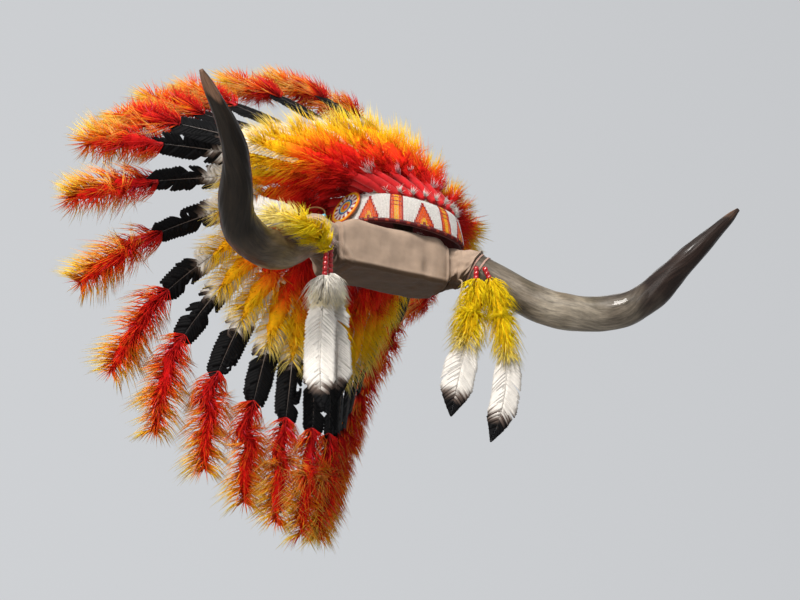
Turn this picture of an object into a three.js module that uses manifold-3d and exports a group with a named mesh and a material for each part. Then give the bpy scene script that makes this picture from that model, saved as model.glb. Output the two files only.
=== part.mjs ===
// Feathered headdress with a horned, leather-wrapped holder. Millimetres, +Z up, the front faces -Y.
// The origin is the middle of the holder's flat underside, where a post carries it.
import * as THREE from 'three';
import { mergeVertices } from 'three/addons/utils/BufferGeometryUtils.js';
import Module from 'manifold-3d';

const wasm = await Module();
wasm.setup();

// Clearances: between a piece and what carries it, and between two feathers
const seatGap = 0.3;
const featherGap = 0.8;

// Leather-wrapped block, with a round sleeve at each end for a horn
const blockLong = 170;
const blockDeep = 84;
const blockHigh = 66;
const edgeRound = 9;
const sleeveRadius = 29;
const sleeveOut = 40;
const sleeveForward = 38;
const sleeveDrop = 2;

// Horns
const hornRadius = 25;
const hornOut = 279;
const hornForward = 236;
const hornRise = 65;
const hornSides = 12;

// Felt crown cap
const capWide = 188;
const capDeep = 184;
const capHigh = 72;
const capWall = 2.5;
const templeRise = 13;
const bonnetRight = 46;
const bonnetBack = 41;
const bonnetTurn = 18;

// Peg that stands on the block inside the cap and carries it
const pegRadius = 14;
const pegBack = 20;

// Beaded browband with its cloth binding, and the rosettes over its ends
const bandHigh = 39;
const bandThick = 3;
const bandFaces = 16;
const bindingHigh = 3.7;
const bindingThick = 3.6;
const rosetteRadius = 26;
const rosetteThick = 3.5;
const rosetteTurn = 95;
const rosetteUp = 26;

// Feathers of the crown: a red wrap, a fluffy base, the vane and a plume tied to its tip
const featherCount = 28;
const capSides = featherCount;
const wrapRadius = 5.5;
const wrapLift = 3;
const rosetteLift = 10;
const rosetteLiftSpread = 18;
const shaftLong = 290;
const plumeLong = 150;
const fluffHalf = 26;
const vaneHalf = 20;
const vaneThick = 3;
const plumeHalf = 29;
const plumeThick = 17;
const rightSpread = 0.8;
const lockLong = 12;
const tallest = 1.0;

// Drops: bead strings with a feather at the end of each
const beadRadius = 3.75;
const beadLong = 7.5;
const beadSides = 10;
const beadNeck = 2;
const dropHalf = 20;
const dropThick = 8;
const dropTurn = 31;
const quillRadius = 2.2;

// Crown cap profile: height and half-width as shares of the cap's
const CAP_PROFILE = [
  { up: 0.0, out: 1.0 },
  { up: 0.31, out: 0.965 },
  { up: 0.6, out: 0.88 },
  { up: 0.78, out: 0.7 },
  { up: 0.92, out: 0.45 },
  { up: 0.985, out: 0.2 },
  { up: 1.0, out: 0.0 },
];

// Half of the block from its middle to the end: length, depth and height as shares of the block's
const BLOCK_SECTIONS = [
  { along: 0.0, deep: 1.0, high: 1.0, round: 1.0 },
  { along: 0.45, deep: 1.02, high: 1.0, round: 1.0 },
  { along: 0.84, deep: 1.0, high: 1.0, round: 1.1 },
  { along: 1.0, deep: 0.9, high: 0.9, round: 1.6 },
];

// Horn centreline past its sleeve: shares of the horn's reach outward, forward and upward
const HORN_LINE = [
  { out: 0.0, forward: 0.0, up: 0.0 },
  { out: 0.34, forward: 0.28, up: -0.98 },
  { out: 0.62, forward: 0.54, up: -0.97 },
  { out: 0.78, forward: 0.86, up: -0.06 },
  { out: 1.0, forward: 1.0, up: 1.0 },
];

// Horn thickness: share of its length and of its greatest radius
const HORN_SECTIONS = [
  { along: 0.0, radius: 0.92 },
  { along: 0.08, radius: 0.94 },
  { along: 0.17, radius: 0.96 },
  { along: 0.26, radius: 0.99 },
  { along: 0.35, radius: 1.0 },
  { along: 0.44, radius: 0.97 },
  { along: 0.52, radius: 0.92 },
  { along: 0.6, radius: 0.85 },
  { along: 0.68, radius: 0.75 },
  { along: 0.76, radius: 0.63 },
  { along: 0.84, radius: 0.49 },
  { along: 0.91, radius: 0.35 },
  { along: 0.97, radius: 0.22 },
  { along: 1.0, radius: 0.09 },
];

// The fan of feathers from the brow (0) round the side to the nape (180): where the vane's tip lies from
// the wrap's base, as shares of the shaft, and where the plume's end lies from there, as shares of the plume
const FAN = [
  { turn: 0, side: 0.0, back: 0.65, up: 0.76, plumeSide: 0.0, plumeBack: 0.87, plumeUp: 0.48, lift: 0.05 },
  { turn: 15, side: 0.27, back: 0.66, up: 0.67, plumeSide: -0.06, plumeBack: 0.88, plumeUp: 0.46, lift: 0.08 },
  { turn: 30, side: 0.57, back: 0.63, up: 0.49, plumeSide: -0.12, plumeBack: 0.87, plumeUp: 0.48, lift: 0.15 },
  { turn: 45, side: 0.74, back: 0.64, up: 0.37, plumeSide: -0.12, plumeBack: 0.88, plumeUp: 0.45, lift: 0.25 },
  { turn: 60, side: 0.89, back: 0.58, up: 0.22, plumeSide: -0.08, plumeBack: 0.92, plumeUp: 0.36, lift: 0.3 },
  { turn: 75, side: 0.88, back: 0.61, up: 0.08, plumeSide: 0.12, plumeBack: 0.96, plumeUp: 0.2, lift: 0.32 },
  { turn: 90, side: 0.76, back: 0.69, up: -0.13, plumeSide: 0.35, plumeBack: 0.86, plumeUp: -0.24, lift: 0.35 },
  { turn: 105, side: 0.56, back: 0.73, up: -0.38, plumeSide: 0.28, plumeBack: 0.64, plumeUp: -0.76, lift: 0.4 },
  { turn: 120, side: 0.43, back: 0.67, up: -0.61, plumeSide: 0.05, plumeBack: 0.37, plumeUp: -0.97, lift: 0.45 },
  { turn: 135, side: 0.28, back: 0.53, up: -0.8, plumeSide: -0.12, plumeBack: 0.25, plumeUp: -0.97, lift: 0.5 },
  { turn: 150, side: 0.16, back: 0.38, up: -0.96, plumeSide: -0.1, plumeBack: 0.16, plumeUp: -0.98, lift: 0.6 },
  { turn: 165, side: 0.07, back: 0.26, up: -1.04, plumeSide: -0.04, plumeBack: 0.14, plumeUp: -0.98, lift: 0.8 },
  { turn: 180, side: 0.0, back: 0.2, up: -1.08, plumeSide: 0.0, plumeBack: 0.14, plumeUp: -0.98, lift: 0.9 },
];

// Sections of a crown feather: place along the shaft or the plume, and half-width and thickness as shares
// of the named piece; a lock is how far the barbs at that lip stand forward
const FEATHER_SECTIONS = [
  { part: 'shaft', along: 0.0, of: 'wrap', wide: 1.0, thick: 1.0, lock: 0 },
  { part: 'shaft', along: 0.16, of: 'wrap', wide: 1.05, thick: 1.05, lock: 0 },
  { part: 'shaft', along: 0.26, of: 'fluff', wide: 0.7, thick: 0.7, lock: 1 },
  { part: 'shaft', along: 0.28, of: 'fluff', wide: 0.46, thick: 0.42, lock: 0 },
  { part: 'shaft', along: 0.42, of: 'fluff', wide: 0.95, thick: 0.95, lock: 1 },
  { part: 'shaft', along: 0.44, of: 'fluff', wide: 0.6, thick: 0.5, lock: 0 },
  { part: 'shaft', along: 0.57, of: 'fluff', wide: 1.0, thick: 0.8, lock: 1 },
  { part: 'shaft', along: 0.6, of: 'vane', wide: 0.95, thick: 1.3, lock: 0 },
  { part: 'shaft', along: 0.78, of: 'vane', wide: 1.0, thick: 1.0, lock: 0 },
  { part: 'shaft', along: 0.97, of: 'vane', wide: 0.6, thick: 1.1, lock: 0 },
  { part: 'plume', along: 0.2, of: 'plume', wide: 0.75, thick: 0.75, lock: 1 },
  { part: 'plume', along: 0.24, of: 'plume', wide: 0.5, thick: 0.5, lock: 0 },
  { part: 'plume', along: 0.5, of: 'plume', wide: 1.0, thick: 1.0, lock: 1 },
  { part: 'plume', along: 0.55, of: 'plume', wide: 0.65, thick: 0.65, lock: 0 },
  { part: 'plume', along: 0.8, of: 'plume', wide: 0.7, thick: 0.7, lock: 1 },
  { part: 'plume', along: 1.0, of: 'plume', wide: 0.12, thick: 0.15, lock: 0 },
];

// Sections of a drop's feather: shares of its length, half-width and thickness
const DROP_SECTIONS = [
  { along: 0.0, wide: 0.11, thick: 0.24, lock: 0 },
  { along: 0.05, wide: 0.4, thick: 0.45, lock: 0 },
  { along: 0.22, wide: 0.85, thick: 1.0, lock: 1 },
  { along: 0.24, wide: 0.65, thick: 0.65, lock: 0 },
  { along: 0.42, wide: 1.0, thick: 1.0, lock: 1 },
  { along: 0.47, wide: 0.92, thick: 0.18, lock: 0 },
  { along: 0.7, wide: 0.95, thick: 0.17, lock: 0 },
  { along: 0.86, wide: 0.82, thick: 0.17, lock: 0 },
  { along: 1.0, wide: 0.08, thick: 0.14, lock: 0 },
];

// The drops: where each is tied round its horn (along from the mouth, and degrees above the front), how its
// bead string falls, and where its feather ends from the sleeve's mouth, as outward, forward and up. The
// bow is how far the feather swings to its right in the middle
const DROPS = [
  { name: 'right_inner', side: 1, along: 7, above: -27, beads: 3, fall: [-4, 5, -22], tip: [-50, 14, -229], bow: 0 },
  { name: 'right_outer', side: 1, along: 17, above: -18, beads: 3, fall: [3, 14, -27], tip: [-3, 34, -263], bow: 22 },
  { name: 'left_outer', side: -1, along: 13.5, above: -62, beads: 6, fall: [5, 5, -44], tip: [5, 39, -257], bow: -5 },
  { name: 'left_inner', side: -1, along: 3, above: -50, beads: 6, fall: [0, 0, -44], tip: [-30, 4, -236], bow: 6 },
];

// The feather that lies over the left horn: where it is tied, and its route from there, chosen by hand
const OVER_HORN = { side: -1, along: 17, above: -50 };
const OVER_HORN_ROUTE = [
  [34, 86, -48],
  [76, 104, -36],
  [104, 34, 1],
  [129, -36, 45],
];

function makeLook(color, roughness, metalness = 0) {
  return new THREE.MeshStandardMaterial({ color, roughness, metalness });
}

function signedVolume(points, faces) {
  const cross = new THREE.Vector3();
  let six = 0;
  for (const [a, b, c] of faces) {
    six += points[a].dot(cross.crossVectors(points[b], points[c]));
  }
  return six;
}

// A closed body from its points and triangles, turned so that its faces point out
function bodyGeometry(points, faces) {
  const outward = signedVolume(points, faces) > 0;
  const index = faces.flatMap(([a, b, c]) => (outward ? [a, b, c] : [a, c, b]));
  const geometry = new THREE.BufferGeometry().setFromPoints(points);
  geometry.setIndex(index);
  geometry.computeVertexNormals();
  return geometry;
}

// Rings with as many points each, skinned in order and closed by a fan at both ends
function loft(rings) {
  const sides = rings[0].length;
  const points = rings.flat();
  const faces = [];
  for (let ring = 0; ring < rings.length - 1; ring += 1) {
    for (let k = 0; k < sides; k += 1) {
      const next = (k + 1) % sides;
      const [a, b] = [ring * sides + k, ring * sides + next];
      faces.push([a, b, b + sides], [a, b + sides, a + sides]);
    }
  }
  for (const [ring, flip] of [[0, true], [rings.length - 1, false]]) {
    const middle = new THREE.Vector3();
    rings[ring].forEach((point) => middle.addScaledVector(point, 1 / sides));
    const centre = points.push(middle) - 1;
    for (let k = 0; k < sides; k += 1) {
      const edge = [ring * sides + k, ring * sides + ((k + 1) % sides)];
      faces.push(flip ? [edge[1], edge[0], centre] : [edge[0], edge[1], centre]);
    }
  }
  return bodyGeometry(points, faces);
}

// A ring of points: each pair of an outline is a step along the across axis and one along the over axis
function placeRing(centre, across, over, outline) {
  return outline.map(([a, b]) => centre.clone().addScaledVector(across, a).addScaledVector(over, b));
}

function roundOutline(sides) {
  return Array.from({ length: sides }, (_, k) => {
    const angle = (2 * Math.PI * k) / sides;
    return [Math.cos(angle), Math.sin(angle)];
  });
}

function roundedBoxOutline(halfWide, halfHigh, round) {
  const outline = [];
  for (let corner = 0; corner < 4; corner += 1) {
    const [signX, signY] = [[1, 1], [-1, 1], [-1, -1], [1, -1]][corner];
    for (let step = 0; step < 4; step += 1) {
      const angle = ((corner + step / 3) * Math.PI) / 2;
      outline.push([
        signX * (halfWide - round) + round * Math.cos(angle),
        signY * (halfHigh - round) + round * Math.sin(angle),
      ]);
    }
  }
  return outline;
}

// A named column of a table read between its rows
function readTable(rows, key, column, at) {
  const last = rows.findIndex((row) => row[key] >= at);
  if (last === 0) return rows[0][column];
  if (last < 0) return rows[rows.length - 1][column];
  const [low, high] = [rows[last - 1], rows[last]];
  const share = (at - low[key]) / (high[key] - low[key]);
  return THREE.MathUtils.lerp(low[column], high[column], share);
}

// The same, but smooth: a Catmull-Rom curve through evenly spaced rows, mirrored past both ends
function readSmooth(rows, key, column, at, mirrorSign) {
  const step = rows[1][key] - rows[0][key];
  const count = rows.length - 1;
  const place = THREE.MathUtils.clamp((at - rows[0][key]) / step, 0, count);
  const cell = Math.min(Math.floor(place), count - 1);
  const u = place - cell;
  const value = (k) => {
    if (k < 0) return mirrorSign * rows[-k][column];
    if (k > count) return mirrorSign * rows[2 * count - k][column];
    return rows[k][column];
  };
  const [p, q, r, s] = [value(cell - 1), value(cell), value(cell + 1), value(cell + 2)];
  return q + 0.5 * u * (r - p + u * (2 * p - 5 * q + 4 * r - s + u * (3 * (q - r) + s - p)));
}

// The mouth of a sleeve, where its horn starts; side is 1 on the right and -1 on the left
function sleeveMouth(side) {
  return new THREE.Vector3(
    side * (blockLong / 2 + sleeveOut),
    -sleeveForward,
    blockHigh / 2 - sleeveDrop,
  );
}

function fromMouth(side, [out, forward, up]) {
  return sleeveMouth(side).add(new THREE.Vector3(side * out, -forward, up));
}

function hornCurve(side) {
  const rows = HORN_LINE.map(({ out, forward, up }) =>
    fromMouth(side, [out * hornOut, forward * hornForward, up * hornRise]));
  return new THREE.CatmullRomCurve3(rows, false, 'centripetal');
}

// A point beside a horn: along it from the mouth, turned above its front, and clear of its surface
function besideHorn({ side, along, above }, clear) {
  const curve = hornCurve(side);
  const share = along / curve.getLength();
  const direction = curve.getTangentAt(share);
  const front = new THREE.Vector3(0, -1, 0).addScaledVector(direction, direction.y).normalize();
  const over = new THREE.Vector3().crossVectors(front, direction).multiplyScalar(side).normalize();
  const angle = THREE.MathUtils.degToRad(above);
  const reach = hornRadius * readTable(HORN_SECTIONS, 'along', 'radius', share) + clear;
  return curve.getPointAt(share)
    .addScaledVector(front, Math.cos(angle) * reach)
    .addScaledVector(over, Math.sin(angle) * reach);
}

// Two axes across a horn or sleeve at one point of its line
function crossAxes(direction, side) {
  const across = new THREE.Vector3(side * 0.8, 0.6, 0).cross(direction).normalize();
  const over = new THREE.Vector3().crossVectors(direction, across).normalize();
  return [across, over];
}

// Block: rounded box sections along X, then round ones that bend forward to the sleeve's mouth
function blockGeometry() {
  const half = (side) => {
    const rings = BLOCK_SECTIONS.map((row) => {
      const round = edgeRound * row.round;
      const halfHigh = (blockHigh * row.high) / 2;
      const outline = roundedBoxOutline((blockDeep * row.deep) / 2, halfHigh, round);
      const centre = new THREE.Vector3((side * blockLong * row.along) / 2, 0, halfHigh);
      return placeRing(centre, new THREE.Vector3(0, 1, 0), new THREE.Vector3(0, 0, 1), outline);
    });
    const start = new THREE.Vector3((side * blockLong) / 2, 0, blockHigh / 2);
    const mouth = sleeveMouth(side);
    const direction = hornCurve(side).getTangent(0);
    for (const share of [0.45, 0.75, 1]) {
      const centre = start.clone().lerp(mouth, share);
      const lean = direction.clone().lerp(new THREE.Vector3(side, 0, 0), 1 - share).normalize();
      const over = new THREE.Vector3(0, 0, 1).addScaledVector(lean, -lean.z).normalize();
      const across = new THREE.Vector3().crossVectors(over, lean).multiplyScalar(side).normalize();
      const outline = roundedBoxOutline(1, 1, 0.99);
      const radius = sleeveRadius * (1.1 - 0.1 * share);
      rings.push(placeRing(centre, across.multiplyScalar(radius), over.multiplyScalar(radius), outline));
    }
    return rings;
  };
  return loft([...half(-1).reverse(), ...half(1).slice(1)]);
}

function hornGeometry(side) {
  const curve = hornCurve(side);
  const long = curve.getLength();
  const rings = HORN_SECTIONS.map((row) => {
    const along = Math.max(row.along, seatGap / long);
    const [across, over] = crossAxes(curve.getTangentAt(along), side);
    const radius = hornRadius * row.radius;
    return placeRing(
      curve.getPointAt(along),
      across.multiplyScalar(radius),
      over.multiplyScalar(radius),
      roundOutline(hornSides),
    );
  });
  return loft(rings);
}

// A point of the cap in the bonnet's own frame: turn in degrees from the brow towards the left side,
// up from the rim, and out from the cap's outer face
function capPoint(turn, up, out) {
  const angle = THREE.MathUtils.degToRad(turn);
  const share = readTable(CAP_PROFILE, 'up', 'out', up / capHigh);
  const below = readTable(CAP_PROFILE, 'up', 'out', Math.max(0, up - 2) / capHigh);
  const above = readTable(CAP_PROFILE, 'up', 'out', Math.min(capHigh, up + 2) / capHigh);
  const slope = ((below - above) * (capWide + capDeep)) / 4 / (Math.min(capHigh, up + 2) - Math.max(0, up - 2));
  const atRim = up <= 0;
  const atTop = up >= capHigh;
  const level = atRim ? 0 : slope / Math.hypot(1, slope);
  const outward = atTop ? 0 : 1 / Math.hypot(1, atRim ? 0 : slope);
  const rise = templeRise * Math.sin(angle) ** 2 * (1 - (up / capHigh) ** 6);
  return new THREE.Vector3(
    -Math.sin(angle) * ((capWide / 2) * share + out * outward),
    -Math.cos(angle) * ((capDeep / 2) * share + out * outward),
    up + rise + out * (atTop ? 1 : level),
  );
}

function capNormal(turn, up, out) {
  const along = capPoint(turn + 1, up, out).sub(capPoint(turn - 1, up, out));
  const rising = capPoint(turn, up + 1, out).sub(capPoint(turn, up - 1, out));
  const normal = new THREE.Vector3().crossVectors(along, rising).normalize();
  const middle = capPoint(turn, up, out).setZ(0);
  return normal.dot(middle) > 0 ? normal : normal.negate();
}

function capRing(up, out) {
  return Array.from({ length: capSides }, (_, k) => capPoint((360 * k) / capSides, up, out));
}

// Cap: an outer and an inner skin joined at the rim
function capGeometry() {
  const heights = CAP_PROFILE.map((row) => row.up * capHigh);
  const crown = heights.pop();
  const points = [];
  const faces = [];
  const rings = [...heights.map((up) => capRing(up, -capWall)).reverse(), ...heights.map((up) => capRing(up, 0))];
  rings.forEach((ring) => points.push(...ring));
  for (let ring = 0; ring < rings.length - 1; ring += 1) {
    for (let k = 0; k < capSides; k += 1) {
      const next = (k + 1) % capSides;
      const [a, b] = [ring * capSides + k, ring * capSides + next];
      faces.push([a, b, b + capSides], [a, b + capSides, a + capSides]);
    }
  }
  const inside = points.push(capPoint(0, crown, -capWall)) - 1;
  const outside = points.push(capPoint(0, crown, 0)) - 1;
  const top = (rings.length - 1) * capSides;
  for (let k = 0; k < capSides; k += 1) {
    const next = (k + 1) % capSides;
    faces.push([next, k, inside], [top + k, top + next, outside]);
  }
  return bodyGeometry(points, faces);
}

// A strip round the cap from ear to ear, between two heights and two distances from the cap
function stripGeometry(low, high, near, far) {
  const between = CAP_PROFILE.map((row) => row.up * capHigh).filter((up) => up > low && up < high);
  const heights = [low, ...between, high];
  const rings = Array.from({ length: bandFaces + 1 }, (_, k) => {
    const turn = (360 * (k - bandFaces / 2)) / capSides;
    const inner = heights.map((up) => capPoint(turn, up, near));
    const outer = heights.map((up) => capPoint(turn, up, far)).reverse();
    return [...inner, ...outer];
  });
  return loft(rings);
}

function rosetteGeometry() {
  const profile = [
    [0, 0],
    [rosetteRadius, 0],
    [rosetteRadius, rosetteThick * 0.45],
    [rosetteRadius * 0.8, rosetteThick * 0.8],
    [0, rosetteThick],
  ];
  return new THREE.LatheGeometry(profile.map(([r, y]) => new THREE.Vector2(r, y)), 24);
}

// A point of the cap's flat faces, whose corners are shared with the fan's pitch
function capFacePoint(turn, up) {
  const pitch = 360 / capSides;
  const low = Math.floor(turn / pitch) * pitch;
  return capPoint(low, up, 0).lerp(capPoint(low + pitch, up, 0), (turn - low) / pitch);
}

// Where a feather of the fan starts, and the curve of its shaft and its plume; turn may be negative, which
// is the other side of the head. The wrap's foot touches the cap, so it stands out by its own radius
function featherCurves(turn, wrap = wrapRadius) {
  const wrapped = THREE.MathUtils.euclideanModulo(turn + 180, 360) - 180;
  const side = wrapped < 0 ? -1 : 1;
  const rowTurn = Math.abs(wrapped);
  const spread = side < 0 ? -THREE.MathUtils.lerp(rightSpread, 1, rowTurn / 180) : 1;
  const read = (column, mirror) => readSmooth(FAN, 'turn', column, rowTurn, mirror);
  const lift = rosetteLift * Math.exp(-(((rowTurn - rosetteTurn) / rosetteLiftSpread) ** 2));
  const baseUp = bindingHigh + seatGap + bandHigh + wrapLift + lift;
  const chord = new THREE.Vector3(-spread * read('side', -1), read('back', 1), read('up', 1));
  const plume = new THREE.Vector3(-side * read('plumeSide', -1), read('plumeBack', 1), read('plumeUp', 1));
  const normal = capNormal(wrapped, baseUp, 0);
  const start = chord.clone().normalize().addScaledVector(normal, read('lift', 1)).normalize();
  const seat = seatGap + wrap * Math.sin(start.angleTo(normal));
  const base = capFacePoint(wrapped, baseUp).addScaledVector(normal, seat);
  const root = base.clone().addScaledVector(chord, shaftLong);
  const end = root.clone().addScaledVector(plume, plumeLong);
  const joint = chord.clone().normalize().add(plume.clone().normalize()).normalize();
  const shaftCurve = new THREE.CubicBezierCurve3(
    base,
    base.clone().addScaledVector(start, shaftLong * 0.35),
    root.clone().addScaledVector(joint, -shaftLong * 0.35),
    root,
  );
  const plumeCurve = new THREE.CubicBezierCurve3(
    root,
    root.clone().addScaledVector(joint, plumeLong * 0.35),
    end.clone().addScaledVector(plume.clone().normalize(), -plumeLong * 0.3),
    end,
  );
  return { shaft: shaftCurve, plume: plumeCurve };
}

// Eight points round a flat oval, for feathers and drops; with a lock, every other one stands forward
const FEATHER_OUTLINE = [[1, 0], [0.7, 0.7], [0, 1], [-0.7, 0.7], [-1, 0], [-0.7, -0.7], [0, -1], [0.7, -0.7]];

function lockedRing(centre, across, over, forward) {
  return placeRing(centre, across, over, FEATHER_OUTLINE).map((point, k) =>
    (k % 2 === 0 ? point.add(forward) : point));
}

// The room of a feather between its two neighbours, at one place along its shaft or plume
function roomBetween(before, here, after, part, along) {
  const place = (curves) => curves[part].getPointAt(along);
  const centre = place(here);
  const direction = here[part].getTangentAt(along);
  const flat = (step) => step.addScaledVector(direction, -step.dot(direction));
  const [toBefore, toAfter] = [before, after].map((curves) => flat(place(curves).sub(centre)));
  const room = Math.min(toBefore.length(), toAfter.length()) / 2 - featherGap;
  return { centre, direction, room, width: toAfter.sub(toBefore) };
}

// A crown feather as one closed body: it is never wider than its share of the fan
function featherGeometry(turn) {
  const pitch = 360 / featherCount;
  const before = featherCurves(turn - pitch);
  const after = featherCurves(turn + pitch);
  const foot = roomBetween(before, featherCurves(turn), after, 'shaft', 0);
  const here = featherCurves(turn, Math.min(wrapRadius, foot.room));
  const sizes = {
    wrap: [wrapRadius, wrapRadius],
    fluff: [fluffHalf, fluffHalf],
    vane: [vaneHalf, vaneThick / 2],
    plume: [plumeHalf, plumeThick],
  };
  const rings = FEATHER_SECTIONS.map((row) => {
    const { centre, direction, width, room } = roomBetween(before, here, after, row.part, row.along);
    const [half, thick] = sizes[row.of];
    const wide = Math.min(half * row.wide, room);
    const high = Math.min(thick * row.thick, wide * tallest);
    const over = new THREE.Vector3().crossVectors(direction, width).normalize().multiplyScalar(high);
    const across = width.clone().normalize().multiplyScalar(wide);
    return lockedRing(centre, across, over, direction.multiplyScalar(lockLong * row.lock));
  });
  return loft(rings);
}

// A drop's feather along a curve, with its face turned to one side
function dropFeatherGeometry(curve, face) {
  const rings = DROP_SECTIONS.map((row) => {
    const direction = curve.getTangentAt(row.along);
    const across = new THREE.Vector3().crossVectors(direction, face).normalize();
    const over = new THREE.Vector3().crossVectors(across, direction).normalize();
    return lockedRing(
      curve.getPointAt(row.along),
      across.multiplyScalar(Math.max(dropHalf * row.wide, quillRadius)),
      over.multiplyScalar(dropThick * row.thick),
      direction.multiplyScalar(lockLong * row.lock),
    );
  });
  return loft(rings);
}

// Barrel beads on a thread, fused, hanging down from their top end at the origin
function beadStringGeometry(count) {
  const profile = [[0, -count * beadLong]];
  for (let bead = count; bead > 0; bead -= 1) {
    const low = -bead * beadLong;
    profile.push([beadNeck, low]);
    profile.push([beadRadius, low + beadLong * 0.25]);
    profile.push([beadRadius, low + beadLong * 0.75]);
  }
  profile.push([beadNeck, 0], [0, 0]);
  return new THREE.LatheGeometry(profile.map(([r, y]) => new THREE.Vector2(r, y)), beadSides);
}

function toManifold(geometry, matrix = new THREE.Matrix4()) {
  const bare = geometry.clone().applyMatrix4(matrix);
  bare.deleteAttribute('normal');
  bare.deleteAttribute('uv');
  const merged = mergeVertices(bare, 1e-4);
  return new wasm.Manifold(new wasm.Mesh({
    numProp: 3,
    vertProperties: new Float32Array(merged.attributes.position.array),
    triVerts: new Uint32Array(merged.index.array),
  }));
}

function fromManifold(solid) {
  const mesh = solid.getMesh();
  const geometry = new THREE.BufferGeometry();
  geometry.setAttribute('position', new THREE.BufferAttribute(mesh.vertProperties, 3));
  geometry.setIndex(new THREE.BufferAttribute(mesh.triVerts, 1));
  geometry.computeVertexNormals();
  return geometry;
}

// Peg: a post trimmed to the inside of the cap, so that its top carries the crown
function pegGeometry(bonnetMatrix) {
  const high = capHigh + seatGap;
  const post = new THREE.CylinderGeometry(pegRadius, pegRadius, high, 12);
  post.rotateX(Math.PI / 2);
  post.translate(bonnetRight, pegBack, blockHigh + seatGap + high / 2);
  const heights = CAP_PROFILE.slice(0, -1).map((row) => row.up * capHigh);
  const clear = -capWall - seatGap;
  const skirt = capRing(0, clear).map((point) => point.setZ(-blockHigh));
  const cavity = loft([skirt, ...heights.map((up) => capRing(up, clear))]);
  return fromManifold(toManifold(post).intersect(toManifold(cavity, bonnetMatrix)));
}

const object = new THREE.Group();
const bonnet = new THREE.Group();
bonnet.position.set(bonnetRight, bonnetBack, blockHigh + seatGap);
bonnet.rotation.z = THREE.MathUtils.degToRad(bonnetTurn);
bonnet.updateMatrixWorld();
object.add(bonnet);

function addPiece(parent, name, geometry, look) {
  const mesh = new THREE.Mesh(geometry, look);
  mesh.name = name;
  parent.add(mesh);
  return mesh;
}

function addHolder() {
  addPiece(object, 'leather_block', blockGeometry(), makeLook(0x84705f, 0.8));
  addPiece(object, 'horn_left', hornGeometry(-1), makeLook(0x2e2b28, 0.35));
  addPiece(object, 'horn_right', hornGeometry(1), makeLook(0xa39883, 0.3));
  addPiece(object, 'crown_peg', pegGeometry(bonnet.matrix), makeLook(0x3a2a1e, 0.8));
}

function addCap() {
  const bandLow = bindingHigh + seatGap;
  addPiece(bonnet, 'crown_cap', capGeometry(), makeLook(0x3b1512, 0.95));
  addPiece(bonnet, 'browband', stripGeometry(bandLow, bandLow + bandHigh, seatGap, seatGap + bandThick),
    makeLook(0xf1ece6, 0.35));
  addPiece(bonnet, 'band_binding', stripGeometry(0, bindingHigh, seatGap, seatGap + bindingThick),
    makeLook(0x6d1216, 0.85));
  for (const [name, side] of [['rosette_left', 1], ['rosette_right', -1]]) {
    const rosette = addPiece(bonnet, name, rosetteGeometry(), makeLook(0xe9e2d8, 0.35));
    const turn = side * rosetteTurn;
    const normal = capNormal(turn, rosetteUp, 0);
    rosette.position.copy(capPoint(turn, rosetteUp, 0)).addScaledVector(normal, bandThick + 2 * seatGap);
    rosette.quaternion.setFromUnitVectors(new THREE.Vector3(0, 1, 0), normal);
  }
}

// Feathers are numbered from the brow to the nape on each side
function addFeathers() {
  const pitch = 360 / featherCount;
  for (const [label, side] of [['left', 1], ['right', -1]]) {
    for (let k = 0; k < featherCount / 2; k += 1) {
      const name = `feather_${label}_${String(k + 1).padStart(2, '0')}`;
      addPiece(bonnet, name, featherGeometry(side * pitch * (k + 0.5)), makeLook(0xe2491c, 0.85));
    }
  }
}

function addDrops() {
  const turn = THREE.MathUtils.degToRad(dropTurn);
  const face = new THREE.Vector3(-Math.sin(turn), -Math.cos(turn), 0);
  const right = new THREE.Vector3(Math.cos(turn), -Math.sin(turn), 0);
  for (const drop of DROPS) {
    const top = besideHorn(drop, beadNeck + seatGap);
    const [out, forward, up] = drop.fall;
    const fall = new THREE.Vector3(drop.side * out, -forward, up).normalize();
    const beads = addPiece(object, `beads_${drop.name}`, beadStringGeometry(drop.beads), makeLook(0xa5121a, 0.3));
    beads.position.copy(top);
    beads.quaternion.setFromUnitVectors(new THREE.Vector3(0, -1, 0), fall);
    const quill = top.clone().addScaledVector(fall, drop.beads * beadLong + seatGap);
    const tip = fromMouth(drop.side, drop.tip);
    const middle = quill.clone().lerp(tip, 0.6).addScaledVector(right, 2 * drop.bow);
    const start = quill.clone().addScaledVector(fall, quill.distanceTo(tip) / 6);
    const curve = new THREE.CubicBezierCurve3(quill, start, middle, tip);
    addPiece(object, `drop_feather_${drop.name}`, dropFeatherGeometry(curve, face), makeLook(0xf2eee2, 0.7));
  }
  const tied = besideHorn(OVER_HORN, quillRadius + seatGap);
  const route = [tied, ...OVER_HORN_ROUTE.map((step) => fromMouth(OVER_HORN.side, step))];
  const over = new THREE.CatmullRomCurve3(route, false, 'centripetal');
  addPiece(object, 'drop_feather_over_horn', dropFeatherGeometry(over, face), makeLook(0xf0c928, 0.8));
}

addHolder();
addCap();
addFeathers();
addDrops();

export default object;
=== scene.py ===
"""Looks of a feathered headdress and its horned, leather-wrapped holder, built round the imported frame.

Metres, Z up, the front faces -Y. Shapes are worked out with numpy from the frame's own nodes.
"""

import math

import bpy
import numpy as np
from mathutils import Matrix, Vector


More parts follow.
